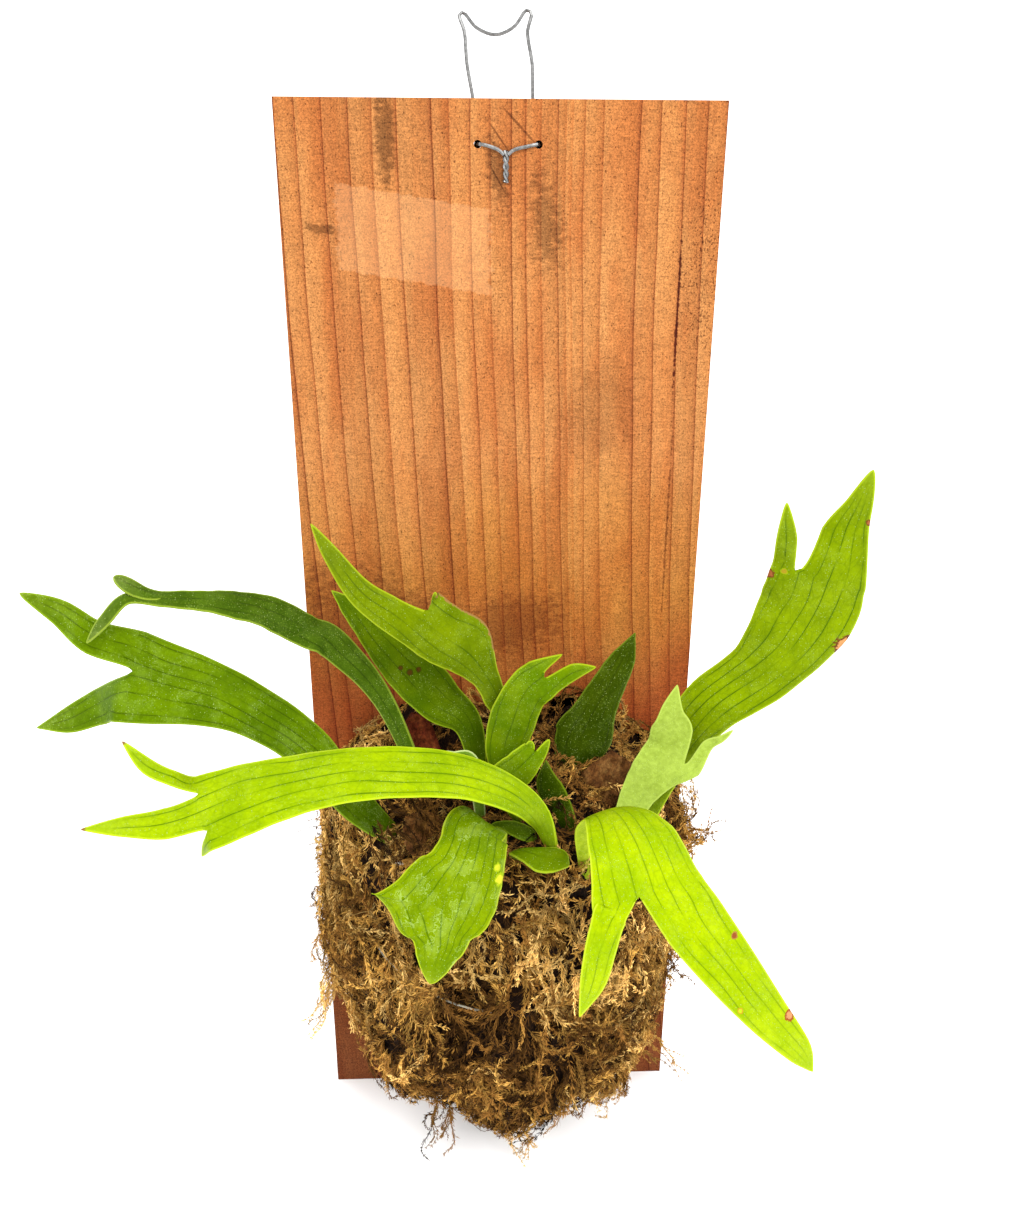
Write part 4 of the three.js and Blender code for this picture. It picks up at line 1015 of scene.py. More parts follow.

# %% [markdown]
# Every frond has its own greens: old ones are deep, young ones yellow, and those that turn their
# underside are pale with felt. The frond that arches at the left and the one behind at the right
# have darker greens, which is painted shade. Spots are places in millimetres: x and height above
# the foot, then a radius, the colour inside and the colour of the rim.

# %% Green blades
FROND_LOOKS = {  # skin colours: deep and light green, veins, rim and felt
    "frond_left_forked": {
        "skin_colours": "385200 4a6400 233900 738a15 738228", "scuff": 0.12,
        "spots": [((-111, 265), 1.5, "b8a884", "241808")],
    },
    # Painted shade: this frond's darker greens and its stronger shade at the root stand for the shade it
    # lies in.
    "frond_left_arching": {"skin_colours": "253d04 354d09 192f02 788a28 6f7c3e", "bloom": 0.6, "shade": 0.7},
    "frond_front_left": {"skin_colours": "698200 7c9200 436200 a0b51a 98a82b", "veins": 1.0, "dry_tip": 0.95},
    "frond_upper_left": {
        "skin_colours": "465800 586900 304500 899716 7b8425",
        "dry_edge": [((-15, 306), 19)],
    },
    "frond_behind_left": {
        "skin_colours": "314800 415500 243800 7a8e14 65741c",
        "spots": [((-46, 275), 1.3, "3a2208", "2c2a06"), ((-42, 273), 1.6, "3a2208", "2c2a06"),
                  ((-38, 274), 1.3, "3a2208", "2c2a06")],
    },
    "frond_centre_forked": {"skin_colours": "415c00 536900 2f4700 889814 7a8720"},
    "frond_centre_small": {"skin_colours": "4c6600 5e7300 324d00 8b9f16 818f24"},
    "frond_centre_young": {"skin_colours": "466610 5e7828 365510 adb97d a7b176", "bloom": 0.9},
    "frond_centre_curled": {"skin_colours": "1c2e00 2b3d00 162400 57680e 4c5a14"},
    # Painted shade: this frond lies close to the board, and its very dark greens stand for the shade there.
    "frond_behind_right": {"skin_colours": "192b00 253600 112100 526314 404d1a", "hairs": 0.35},
    "frond_right_forked": {
        "skin_colours": "556900 667a00 344f00 90a316 839224", "veins": 1.0,
        "spots": [((134, 306), 4.8, "a8764a", "522a12"), ((103, 334), 2.0, "7c4628", "583014"),
                  ((108, 336), 1.4, "806e18", "72800a"), ((135, 359), 1.3, "7c4628", "583014")],
    },
    "frond_right_pale": {"skin_colours": "697c22 7a8c35 586d1d 9eb050 91a644", "veins": 0.35, "bloom": 0.8},
    "frond_front_right": {
        "skin_colours": "708a00 839800 4b6800 aabd27 9eaf2b", "hairs": 0.4, "veins": 0.75, "dry_tip": 0.985,
        "spots": [((83, 215), 1.3, "703620", "805a2a"), ((103, 188), 1.9, "a0704c", "7a3818"),
                  ((84, 191), 1.1, "94a018", "98701c")],
    },
    "frond_front_centre": {
        "skin_colours": "4f6700 637800 324f00 9dab1d 909e30", "hairs": 0.45, "scuff": 0.32,
        "spots": [((-5, 222), 1.5, "9ea024", "7d9010"), ((-4, 218), 2.3, "a8a628", "7d9010")],
    },
    "frond_front_small": {"skin_colours": "506700 607500 3b5300 8d9f1e 81912b"},
    "frond_front_narrow": {"skin_colours": "2b4000 394f00 1f3100 667914 5e6d1a"},
}

for name, look in FROND_LOOKS.items():
    spec = FRONDS[name]
    skin = frond_skin(name, PLAIN_LOOK | look)
    blade = leaf_solid(name + "_blade", frond_sheet(name, spec), skin)
    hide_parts(name)
    spec["slot"]
    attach(blade, BODY)
    print(blade.name, len(blade.data.polygons), "faces")

# %% [markdown]
# ## Shield fronds
#
# A staghorn also grows sterile fronds that clasp the roots. They soon turn into brown, papery,
# wrinkled plates. They are made as the green blades are, from the same kind of table, and then
# crumpled: every point moves in or out by a few waves of different lengths.

# %% Shield fronds
CRUMPLE_MM = 1.4
CRUMPLE_LENGTHS_MM = (9, 5, 3)
WAVES_A_LENGTH = 4
PAPER_PATTERNS = {  # size in mm, detail, roughness
    "cloud": ((7, 7, 11), 4.0, 0.65),
    "fibre": ((1.2, 1.2, 2.4), 3.0, 0.7),
}


def waves_at(points, lengths, seed):
    """A smooth bumpy value from about -1 to 1 at every point: waves of those lengths, in mm."""
    draw = np.random.default_rng(seed)
    total = np.zeros(len(points))
    for length in lengths:
        for _ in range(WAVES_A_LENGTH):
            way = unit(draw.normal(size=3)) * 2 * math.pi / length
            total += np.sin(points @ way + draw.uniform(0, 2 * math.pi))
    return total / math.sqrt(WAVES_A_LENGTH * len(lengths))


def dry_frond(name, hollow, middle, ridge):
    """Papery plate: the hollows of its bump painted dark and its ridges pale, which is painted shade and
    light, and a faint net of veins.
    """
    material, add = new_material(name)
    in_mm = add("VectorMath.SCALE", add("TexCoord", output="Object"), Scale=1 / MM)
    cloud, fibre = noise_of(add, in_mm, PAPER_PATTERNS).values()
    # Painted shade and light: the colour follows the same cloud as the bump, dark in its hollows and pale
    # on its ridges.
    base = add("ValToRGB", cloud, stops=[(0.25, hollow), (0.5, middle), (0.75, ridge)])
    thread = add("ValToRGB", fibre, stops=[(0.3, (0.35, 0.35, 0.35, 1)), (0.65, (1, 1, 1, 1))])
    brown = add("Mix.MULTIPLY", 1.0, base, thread)
    relief = add("Bump", 1.0, 0.0012, Height=add("Math.MULTIPLY_ADD", cloud, 2.5, fibre))
    add("OutputMaterial", add(
        "BsdfPrincipled", Base_Color=brown, Roughness=0.8, Specular_IOR_Level=0.06, Normal=relief,
    ))
    return material


papery = dry_frond("Dry_shield_frond", "341c0c", "6b431f", "9c7340")
reddish = dry_frond("Reddish_shield_frond", "2a0c05", "5c2410", "8c4a24")
for seed, name in enumerate(name for name in FRONDS if name.startswith("shield")):
    sheet = frond_sheet(name, FRONDS[name])
    crumple = waves_at(sheet["points"], CRUMPLE_LENGTHS_MM, seed) * CRUMPLE_MM
    sheet["points"] = sheet["points"] + sheet["up"] * crumple[:, None]
    plate = leaf_solid(name + "_plate", sheet, reddish if "left" in name else papery)
    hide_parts(name)
    FRONDS[name]["slot"]
    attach(plate, BODY)
    print(plate.name, len(plate.data.polygons), "faces")

# %% [markdown]
# ## Moss and root ball
#
# The dome is dried sheet moss wrapped round a ball of roots. It could be sculpted, but strands
# have to grow on it, so its surface is worked out: these functions give it for any direction
# from the dome's middle, with the sizes of the solid model. The crown may stand out further.
# Below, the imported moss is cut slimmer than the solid, because its strands stand out again.

# %% The dome's surface
DOME_CENTRE = np.array([0.0, -19.0, 125.0])  # mm, height above the foot
DOME_RADII = np.array([87.0, 106.0, 107.0])
SHOULDER, SQUARENESS, SLIMMER = 0.22, 0.08, 0.16  # above, below, and taken off below
LUMPS, LONGEST, SHORTEST, LUMP_HEIGHT = 20, 0.7, 0.28, 0.012
CROWN_CENTRE, CROWN_RADII = np.array([3.0, -80.0, 190.0]), np.array([60.0, 27.0, 25.0])


def lump_waves():
    """The waves that make the dome lumpy, drawn in the order that the solid model draws them."""
    state = 7
    rows = []
    for i in range(LUMPS):
        drawn = []
        for _ in range(4):
            state = (1664525 * state + 1013904223) % 4294967296
            drawn.append(state / 4294967296)
        pitch = LONGEST + (SHORTEST - LONGEST) * i / LUMPS
        way = unit(np.array(drawn[:3]) - 0.5) * 2 * math.pi / pitch
        rows.append((*way, 2 * math.pi * drawn[3]))
    return np.array(rows)


WAVE_TABLE = lump_waves()


def dome_reach(way, squareness=SQUARENESS - SLIMMER):
    """How far the surface lies along each unit direction, as a share of the dome's radii."""
    rise = np.sin(way @ WAVE_TABLE[:, :3].T + WAVE_TABLE[:, 3]).sum(1)
    swell = np.where(way[:, 2] > 0, SHOULDER, squareness)
    return 1 + swell * 4 * way[:, 0] ** 2 * way[:, 2] ** 2 + LUMP_HEIGHT * rise


def crown_reach(way):
    """Where each direction leaves the crown, or 0 where it misses the crown."""
    ray = way * DOME_RADII / CROWN_RADII
    start = (DOME_CENTRE - CROWN_CENTRE) / CROWN_RADII
    a, b, c = (ray ** 2).sum(1), ray @ start, (start ** 2).sum() - 1
    square = b ** 2 - a * c
    return np.where(square > 0, (-b + np.sqrt(np.maximum(square, 0))) / a, 0)


print("crown stands out", round(float(crown_reach(unit(np.array([[0.03, -0.6, 0.6]])))[0]), 2))

# %% [markdown]
# Under the strands lies a dark body of packed moss, and the crown is a matted lump of roots.
# Each is a ball of rows and columns: its points are pushed out to the surface, roughened by
# short waves, and cut off flat at the board.

# %% Packed moss and root ball
BODY_ROWS, BODY_COLUMNS = 90, 150
BODY_SUNK_MM, BODY_ROUGH_MM = 2.0, 1.6
BODY_ROUGH_LENGTHS_MM = (14, 7, 4)
BODY_GAP_MM = 0.3  # in front of the board
SWIRL_MM = 9.0  # how far threads bend aside
THREAD_MM = (0.7, 0.7, 3.0)


def round_ball(rows, columns):
    """Points and triangles of a ball of radius 1 with its poles on Z."""
    tilt = np.linspace(0, math.pi, rows + 1)[1:-1, None]
    turn = np.linspace(0, 2 * math.pi, columns, endpoint=False)[None]
    ring = np.stack(np.broadcast_arrays(
        np.sin(tilt) * np.cos(turn), np.sin(tilt) * np.sin(turn), np.cos(tilt) + 0 * turn,
    ), -1).reshape(-1, 3)
    number = np.arange((rows - 1) * columns).reshape(rows - 1, columns)
    after = np.roll(number, -1, axis=1)
    top, bottom = number.size, number.size + 1
    faces = np.vstack([
        np.stack([number[:-1], number[1:], after[1:]], -1).reshape(-1, 3),
        np.stack([number[:-1], after[1:], after[:-1]], -1).reshape(-1, 3),
        np.stack([number[0], after[0], np.full(columns, top)], -1),
        np.stack([after[-1], number[-1], np.full(columns, bottom)], -1),
    ])
    return np.vstack([ring, [[0, 0, 1], [0, 0, -1]]]), faces


def packed_body(name, material, centre, radii, reach_of, seed):
    """A closed ball pushed out to its surface, flat against the board's front."""
    way, triangles = round_ball(BODY_ROWS, BODY_COLUMNS)
    points = centre + way * radii * reach_of(way)[:, None]
    inward = BODY_ROUGH_MM * waves_at(points, BODY_ROUGH_LENGTHS_MM, seed) - BODY_SUNK_MM
    points += unit(way / radii) * inward[:, None]
    points[:, 1] = np.minimum(points[:, 1], DOME_CENTRE[1] - BODY_GAP_MM)
    body = mesh_object(name, points * MM + (0, 0, FOOT), triangles, material)
    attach(body, BODY)
    return body


def packed_fibre(name, dark, middle, pale):
    """Matted dead moss or root: threads that cross one another, with no shine."""
    material, add = new_material(name)
    spot = add("TexCoord", output="Object")
    in_mm = add("VectorMath.SCALE", spot, Scale=1 / MM)
    bent = add("TexNoise", spot, Scale=120.0, Detail=2.0, output="Color")
    swirl = add("VectorMath.MULTIPLY_ADD", bent, (SWIRL_MM,) * 3, in_mm)
    strand = add("VectorMath.DIVIDE", swirl, THREAD_MM)
    thread = add("TexNoise", strand, 1.0, 3.0, 0.7)
    base = add("ValToRGB", thread, stops=[(0.3, dark), (0.55, middle), (0.75, pale)])
    relief = add("Bump", 1.0, 0.002, Height=thread)
    add("OutputMaterial", add(
        "BsdfPrincipled", Base_Color=base, Roughness=0.95, Specular_IOR_Level=0.1, Normal=relief,
    ))
    return material


moss_body = packed_body(
    "moss_packed", packed_fibre("Packed_dry_moss", "080402", "22130a", "4a2f16"),
    DOME_CENTRE, DOME_RADII, dome_reach, 3,
)
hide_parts("moss")
root_body = packed_body(
    "root_ball_crown", packed_fibre("Matted_fern_root", "080503", "1e120a", "3c2716"),
    CROWN_CENTRE, CROWN_RADII, lambda way: np.ones(len(way)), 4,
)
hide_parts("root_ball")
print("packed moss:", len(moss_body.data.polygons), "faces")

# %% [markdown]
# A strand of sheet moss is a thin bent stem set all round with leaflets 1 to 2 mm long, which lie
# forward along it like the barbs of a feather. Hair curves or scattered copies would be light to
# compute, but the part has to be real meshes. So each strand is a three-sided stem, and each
# leaflet is one triangle on it, drawn up to twice as long as a real one so that fewer of them
# cover the dome. Thousands are grown at once with arrays.
#
# A strand walks over the dome from its start: at each step it turns a little, and it rises off
# the surface or lies flat.

# %% Strand paths
STRAND_POINTS = 18
STRAIGHTENS = 0.85  # share of a strand's turning that is left after a step


def walk(draw, start, heading, turning, step_mm, lift_mm):
    """The paths of strands over the dome, as an array of strands, points and x, y, z in mm."""
    way = unit(start)
    paths = []
    for i in range(STRAND_POINTS):
        outward = np.maximum(dome_reach(way), crown_reach(way))
        paths.append(DOME_CENTRE + way * DOME_RADII * (outward + lift_mm[:, i] / 100)[:, None])
        down = unit(np.array([0.0, 0.0, -1.0]) + way[:, 2:] * way)
        aside = np.cross(way, down)
        course = np.cos(heading)[:, None] * down + np.sin(heading)[:, None] * aside
        way = unit(way + course * (step_mm / DOME_RADII.mean())[:, None])
        turning = turning * STRAIGHTENS + draw.normal(0, 0.09, len(heading))
        heading = heading + turning
    return np.stack(paths, 1)


print("a strand has", STRAND_POINTS, "points")

# %% [markdown]
# The stem's corners turn round its path. At every corner but the first ones, leaflets lean out
# and forward: each has a belly point and a tip, and shares the stem's own point as its foot.
# A colour attribute keeps the strand's tint, the place on the leaflet and a random shade.

# %% Strand mesh
STEM_CORNERS = 3
STEM_MM, STEM_TIP_SHARE = 0.22, 0.45
LEAFLET_MM, LEAFLET_WIDTH_MM = 3.6, 0.5
LEAFLETS = 2  # on every corner of the stem at every point
BELLY_SHARE = 0.42  # of the leaflet's length
FLOOR_GAP_MM, BOARD_GAP_MM = 0.4, 0.3  # left above the floor and in front of the board


def stem_tubes(paths, draw, stem_mm):
    """Corners of the stems, their outward directions and headings, point numbers and faces."""
    count, points = paths.shape[:2]
    along = unit(np.gradient(paths, axis=1))
    spin = unit(draw.normal(size=(count, 1, 3)))
    across = unit(np.cross(along, spin))
    other = np.cross(along, across)
    angle = (np.arange(STEM_CORNERS) * 2 * math.pi / STEM_CORNERS)[:, None]
    ring = np.cos(angle) * across[:, :, None] + np.sin(angle) * other[:, :, None]
    taper = np.linspace(1, STEM_TIP_SHARE, points)
    corners = paths[:, :, None] + ring * (stem_mm * taper)[None, :, None, None]
    number = np.arange(count * points * STEM_CORNERS).reshape(count, points, STEM_CORNERS)
    a, b = number[:, :-1], number[:, 1:]
    a_next, b_next = np.roll(a, -1, axis=2), np.roll(b, -1, axis=2)
    sides = [np.stack([a, a_next, b_next], -1), np.stack([a, b_next, b], -1)]
    faces = [side.reshape(-1, 3) for side in (*sides, number[:, 0, ::-1], number[:, -1])]
    return corners, ring, along, number, faces


def feathered(name, paths, tint, draw, material, leaflet_mm=LEAFLET_MM, stem_mm=STEM_MM, leaflets=LEAFLETS):
    """One mesh of stems with leaflets, which rides on the body."""
    count, points = paths.shape[:2]
    corners, ring, along, number, faces = stem_tubes(paths, draw, stem_mm)
    every_point, every_tip = [corners.reshape(-1, 3)], [np.zeros(corners.size // 3)]
    every_owner = [np.repeat(np.arange(count), points * STEM_CORNERS)]
    bases = number[:, 1:].reshape(-1)
    size, start = len(bases), number.size
    foot = every_point[0][bases]
    owner = np.repeat(np.arange(count), (points - 1) * STEM_CORNERS)
    outward = ring[:, 1:].reshape(-1, 3)
    forward = np.repeat(along[:, 1:].reshape(-1, 3), STEM_CORNERS, axis=0)
    position = np.tile(np.repeat(np.arange(1, points), STEM_CORNERS), count) / points
    for _ in range(leaflets):
        lean = unit(0.42 * outward + 0.24 * draw.normal(size=outward.shape) + forward)
        flat = unit(np.cross(lean, outward + 0.8 * draw.normal(size=outward.shape)))
        length = leaflet_mm * draw.uniform(0.2, 1.3, size) * (1.15 - 0.6 * position)
        width = LEAFLET_WIDTH_MM * draw.uniform(0.6, 1.2, size)
        belly = foot + lean * (length * BELLY_SHARE)[:, None] + flat * width[:, None]
        every_point += [belly, foot + lean * length[:, None]]
        every_tip.append(np.repeat([0.45, 1.0], size))
        every_owner.append(np.tile(owner, 2))
        bellies = start + np.arange(size)
        faces.append(np.stack([bases, bellies, bellies + size], 1))
        start += 2 * size
    every_point = np.vstack(every_point)
    every_point[:, 1] = np.minimum(every_point[:, 1], DOME_CENTRE[1] - BOARD_GAP_MM)
    every_point[:, 2] = np.maximum(every_point[:, 2], FLOOR_GAP_MM)
    strands = mesh_object(name, every_point * MM + (0, 0, FOOT), np.vstack(faces), material, smooth=False)
    owner, shade = np.concatenate(every_owner), draw.uniform(0, 1, count)
    dye = np.stack([tint[owner], np.concatenate(every_tip), shade[owner], np.ones(len(owner))], 1)
    layer = strands.data.attributes.new("dye", "FLOAT_COLOR", "POINT")
    layer.data.foreach_set("color", dye.astype(np.float32).ravel())
    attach(strands, BODY)
    return strands


def dried_moss():
    """Brown to gold strands: dark stems, paler leaflet tips, and no shine."""
    material, add = new_material("Dried_sheet_moss")
    tint, tip, shade = add("SeparateColor", add("Attribute.dye", output="Color")).node.outputs
    base = add("ValToRGB", tint, stops=[
        (0.0, "160a03"), (0.3, "4f3313"), (0.55, "8a5f2a"), (0.8, "c19346"), (1.0, "e8bd70"),
    ])
    tip_tone = add("MapRange", tip, 0.0, 1.0, 0.50, 1.25)
    shade_tone = add("MapRange", shade, 0.0, 1.0, 0.45, 1.45)
    tone = add("Math.MULTIPLY", tip_tone, shade_tone)
    brown = add("Mix.MULTIPLY", 1.0, base, add("CombineColor", tone, tone, tone))
    add("OutputMaterial", add(
        "BsdfPrincipled", Base_Color=brown, Roughness=0.85, Specular_IOR_Level=0.06,
    ))
    return material


moss_strand = dried_moss()
print("leaflets on a strand:", (STRAND_POINTS - 1) * STEM_CORNERS * LEAFLETS)

# %% [markdown]
# Strands start all over the dome, and a few hundred more are laid over the fishing lines. More
# than half lie in the mat. The others stand out, hang and make the shaggy outline. The strands
# of a tuft share a heading. Where the line shows, at the front, they lie lower than it does.

# %% Cover the dome
STRANDS = 2900
TIE_COVER = 500  # strands laid over the fishing lines
TIE_PATHS = [(138, 46), (92, -26)]  # height at the front, and how far it rises to the sides
TUFT_MM = 26  # how far apart places of one tone and heading lie
BARE_LINE, BARE_MM = np.array([-15.0, -123.0, 140.0]), 11.0  # mm, where the line shows
SHAGGY = 0.42  # share of the strands that stand out
CURL_MM = 1.5
COVER_SEED = 21
along_strand = np.linspace(0, 1, STRAND_POINTS)


def cover_starts(draw):
    """Directions of the strands' starts: all over the dome, then along the fishing lines."""
    way = unit(draw.normal(size=(STRANDS * 4, 3)))
    in_front = (way[:, 1] < 0.02) & ((way[:, 1] > -0.4) | (way[:, 2] < 0.97))
    way = way[in_front][:STRANDS]
    for height, gain in TIE_PATHS:
        x = draw.uniform(-82, 82, TIE_COVER // 2)
        z = height + gain * (1 - np.sqrt(1 - (x / DOME_RADII[0]) ** 2)) - DOME_CENTRE[2]
        z = z + draw.normal(0, 3, len(x)) + 5
        a, c = x / DOME_RADII[0], z / DOME_RADII[2]
        depth = -np.sqrt(np.maximum(1 - a ** 2 - c ** 2, 0.02))
        way = np.vstack([way, unit(np.stack([a, depth, c], 1))])
    return way


def cover_lift(draw, way, shaggy, near_foot):
    """How far each point of each strand stands off the dome, in mm."""
    count = len(way)
    rise = near_foot * np.where(shaggy, draw.uniform(3, 9, count), draw.uniform(-0.5, 3.0, count))
    lift = rise[:, None] * np.sin(along_strand * math.pi * draw.uniform(0.3, 0.9, count)[:, None])
    lift = lift + draw.uniform(-1.5, 2.2, (count, 1))
    over_line = way[-TIE_COVER:]
    line_reach = np.maximum(dome_reach(over_line, SQUARENESS), 1)  # the line spans the hollows
    hollow = 100 * (line_reach - dome_reach(over_line))
    cover = draw.uniform(0.8, 2.4, (TIE_COVER, 1)) + hollow[:, None]
    lift[-TIE_COVER:] = np.maximum(lift[-TIE_COVER:], cover)
    bare = np.linalg.norm(way * DOME_RADII + DOME_CENTRE - BARE_LINE, axis=1) < BARE_MM
    lift[bare] = np.minimum(lift[bare], -1.2)
    return lift


def cover_paths(draw, way):
    """The paths of all strands of the cover, and how far each stands off on average."""
    count = len(way)
    place = way * DOME_RADII
    shaggy = draw.uniform(0, 1, count) < SHAGGY
    near_foot = np.clip((place[:, 2] + DOME_CENTRE[2] - 22) / 90, 0.15, 1)  # they lie closer there
    lift = cover_lift(draw, way, shaggy, near_foot)
    heading = 1.3 * waves_at(place, (2 * TUFT_MM, TUFT_MM), 8) + draw.normal(0, 0.55, count)
    turning = 0.14 * waves_at(place, (TUFT_MM,), 9) + draw.normal(0, 0.13, count)
    paths = walk(draw, way, heading, turning, draw.uniform(0.9, 1.9, count), lift)
    sag = shaggy * near_foot * draw.uniform(0, 7, count)
    paths[..., 2] -= sag[:, None] * along_strand ** 2
    turns, phase = draw.uniform(5, 13, (count, 1, 3)), draw.uniform(0, 6, (count, 1, 3))
    loops = along_strand[None, :, None] * turns + phase
    paths += (CURL_MM * shaggy * draw.uniform(0.3, 1.6, count))[:, None, None] * np.sin(loops)
    return paths, lift.mean(1)


draw = np.random.default_rng(COVER_SEED)
way = cover_starts(draw)
paths, stand_off = cover_paths(draw, way)
print("strands:", len(paths), "reaching", paths.min((0, 1)).round(1), "to", paths.max((0, 1)).round(1))

# %% [markdown]
# Dried moss is not one brown. Tufts differ, and some places are paler. Painted shade makes the
# strands beneath darker than those on top, the lower half of the dome darker, and the place among
# the frond stalks darker. Painted light makes the strands at the foot lighter. The cover is made in
# six pieces, each a share of the directions, so that no mesh grows too heavy.

# %% Colour and pieces of the cover
PALE_PLACES = [  # middle and half size in mm (x and height), and how much paler
    # The place at height 212, under the crown among the frond stalks, is made darker: painted shade.
    ((8, 172), (45, 28), 0.20), ((-5, 212), (38, 20), -0.30), ((82, 80), (12, 18), 0.30),
    ((-86, 78), (12, 22), 0.25),
]
PIECES = ("low_left", "low_middle", "low_right", "high_left", "high_middle", "high_right")


def cover_tint(middle, stand_off):
    """How pale each strand is, from 0 to 1, before its own chance, with painted shade and light in it."""
    x, height = middle[:, 0], middle[:, 2]
    tone_and_painted_light = 0.50 + 0.21 * waves_at(middle, (60, TUFT_MM, 12), 5)
    # Painted shade: darker on the lower half of the dome. The strands are paler towards the sides.
    tone_and_painted_light += 0.15 * np.clip((height - 150) / 30, -1.1, 0.3) + 0.12 * np.clip(np.abs(x) / 40 - 0.6, 0, 1)
    # Painted light: lighter at the dome's foot, where the strands lie in shadow.
    tone_and_painted_light += 0.17 * np.clip((66 - height) / 36, 0, 1)
    for (pale_x, pale_height), (wide, high), gain in PALE_PLACES:
        tone_and_painted_light += gain * np.exp(-((x - pale_x) / wide) ** 2 - ((height - pale_height) / high) ** 2)
    # Painted shade: the strands that lie deep in the mat are darker. The far left is a little paler.
    return tone_and_painted_light + 0.05 * (x < -45) + 0.10 * np.clip((stand_off - 1.8) / 2, -1.5, 1.5)


tone_and_painted_light = cover_tint(paths.mean(1), stand_off)
tint = np.clip(tone_and_painted_light + draw.normal(0, 0.19, len(paths)), 0, 1)
region = (way[:, 0] > -0.3).astype(int) + (way[:, 0] > 0.3) + 3 * (way[:, 2] > 0.1)
for number, part in enumerate(PIECES):
    chosen = region == number
    piece = feathered("moss_strands_" + part, paths[chosen], tint[chosen], draw, moss_strand)
    print(piece.name, int(chosen.sum()), "strands", len(piece.data.polygons), "triangles")

# %% [markdown]
# Single wisps of moss stand clear of the outline at the sides, and hang below. Thin curly roots,
# with no leaflets, reach out at the upper left and wander over the moss. Each wisp is a curve
# from a start towards an end, and a few waves make it curl.

# %% Wisps and roots
WISPS = {  # start and end in mm (x, y, height above the foot), how many, spread in mm, tint
    "before_left_shield": ((-44, -104, 224), (-32, -112, 212), 22, 7, 0.35),
    "left_yellow": ((-88, -40, 90), (-98, -42, 56), 14, 2.5, 1.0),
    "upper_right": ((82, -60, 182), (96, -60, 192), 26, 4, 0.55),
    "middle_right": ((80, -62, 126), (99, -66, 118), 7, 6, 0.5),
    "lower_right": ((76, -44, 56), (93, -46, 36), 8, 6, 0.7),
    "foot_left": ((-30, -76, 40), (-35, -76, 14), 9, 3, 0.45),
    "foot_middle": ((6, -82, 38), (11, -82, 12), 9, 3, 0.85),
}
ROOTS = {
    "upper_left": ((-78, -52, 190), (-108, -58, 184), 12, 7, 0.5),
    "left": ((-82, -50, 170), (-98, -54, 160), 5, 6, 0.4),
}
WISP_MM, WISP_LEAFLET_MM, WISP_CURL_MM = 0.3, 3.0, 3.2
ROOT_MM_THICK = 0.17
THREADS = 130  # roots that wander over the moss


def wisp_paths(draw, groups):
    """Paths and tints of all strands of a table like the ones above."""
    rows, tones = [], []
    for start, end, count, spread, tone in groups.values():
        first = np.array(start) + draw.normal(0, spread, (count, 3))
        reach = (np.array(end) - start) * draw.uniform(0.35, 1.15, (count, 1))
        reach += draw.normal(0, spread * 0.7, (count, 3))
        share = along_strand[None, :, None]
        turns, phase = draw.uniform(3, 9, (count, 1, 3)), draw.uniform(0, 6, (count, 1, 3))
        loops = share * turns + phase
        rows.append(first[:, None] + reach[:, None] * share + WISP_CURL_MM * np.sin(loops) * share)
        tones.append(tone + draw.normal(0, 0.1, count))
    return np.concatenate(rows), np.concatenate(tones)


paths, tones = wisp_paths(draw, WISPS)
wisps = feathered("moss_wisps", paths, tones, draw, moss_strand, WISP_LEAFLET_MM, WISP_MM)

paths, tones = wisp_paths(draw, ROOTS)
way = unit(draw.normal(size=(THREADS * 4, 3)))
way = way[(way[:, 1] < -0.2) & (way[:, 2] < 0.8)][:THREADS]
beat, phase = draw.uniform(3, 8, (THREADS, 1)), draw.uniform(0, 6, (THREADS, 1))
lift = 3.4 + 1.8 * np.sin(along_strand * beat + phase)
heading, turning = draw.uniform(-2, 2, THREADS), draw.normal(0, 0.2, THREADS)
over = walk(draw, way, heading, turning, draw.uniform(1, 2.2, THREADS), lift)
tones = np.append(tones, draw.uniform(0.3, 1.0, THREADS))
roots = feathered("curly_roots", np.vstack([paths, over]), tones, draw, moss_strand, 0, ROOT_MM_THICK, 0)
print("wisps:", sum(row[2] for row in WISPS.values()), "roots:", len(tones))

# %% [markdown]
# Two grains of white perlite, a puffed volcanic glass that is mixed into potting soil, lie in
# the moss. Dark torn fibre fills each of the board's two holes round the wire.

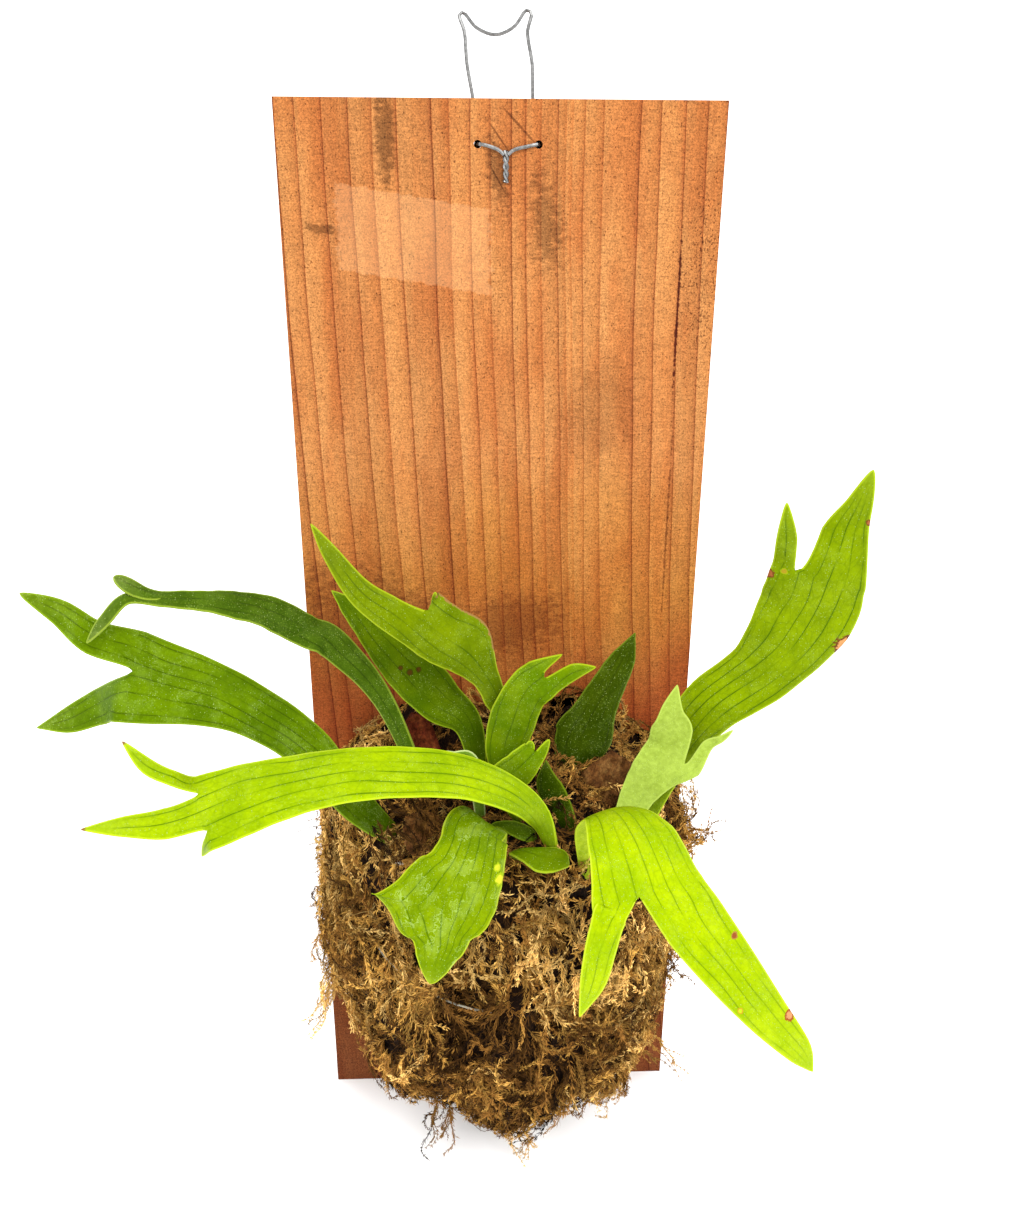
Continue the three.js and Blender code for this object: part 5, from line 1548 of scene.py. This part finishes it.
# %% Perlite and hole fibre
PERLITE = [((58, -100, 137), 1.6), ((-47, -92, 196), 1.9)]  # centre above the foot, radius, in mm
GRAIN_SHAPE = (1.2, 1, 0.85)
HOLE_PLACES = [(-10, 491), (15, 491)]  # mm, x and height above the foot
HOLE_RADIUS_MM, FIBRE_DEPTH_MM = 1.55, (2.0, 15.0)


def matt_mineral(name, dark, pale, grain_mm):
    """A dull crumbly surface with pits about as large as its grain."""
    material, add = new_material(name)
    grain = add("TexNoise", add("TexCoord", output="Object"), Scale=1 / (grain_mm * MM), Detail=4.0)
    base = add("ValToRGB", grain, stops=[(0.35, dark), (0.6, pale)])
    relief = add("Bump", 0.7, 0.0003, Height=grain)
    add("OutputMaterial", add(
        "BsdfPrincipled", Base_Color=base, Roughness=0.9, Specular_IOR_Level=0.1, Normal=relief,
    ))
    return material


ball, ball_faces = round_ball(10, 14)
perlite = matt_mineral("White_perlite", "8c867c", "cfcac0", 0.8)
for number, (centre, radius) in enumerate(PERLITE, 1):
    lumps = 1 + 0.16 * waves_at(ball, (1.4, 0.8), number)
    points = (np.array(centre) + ball * lumps[:, None] * radius * GRAIN_SHAPE) * MM + (0, 0, FOOT)
    grain = mesh_object(f"perlite_grain_{number}", points, ball_faces, perlite)
    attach(grain, BODY)

torn = matt_mineral("Dark_torn_fibre", "050302", "1c110a", 0.5)
near, far = (BOARD_FRONT + depth * MM for depth in FIBRE_DEPTH_MM)
plug = ball[:, [0, 2, 1]] * (1, -1, 1)  # its poles lie on the hole's axis
plug_half = (HOLE_RADIUS_MM * MM, (far - near) / 2, HOLE_RADIUS_MM * MM)
for number, (x, height) in enumerate(HOLE_PLACES, 1):
    ruffle = 1 - 0.08 * np.abs(waves_at(ball, (0.9,), number + 5))
    points = plug * plug_half * ruffle[:, None] + (x * MM, (near + far) / 2, height * MM + FOOT)
    fibre = mesh_object(f"hole_fibre_{number}", points, ball_faces, torn)
    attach(fibre, BODY)
print("perlite grains:", len(PERLITE), "hole fibres:", len(HOLE_PLACES))
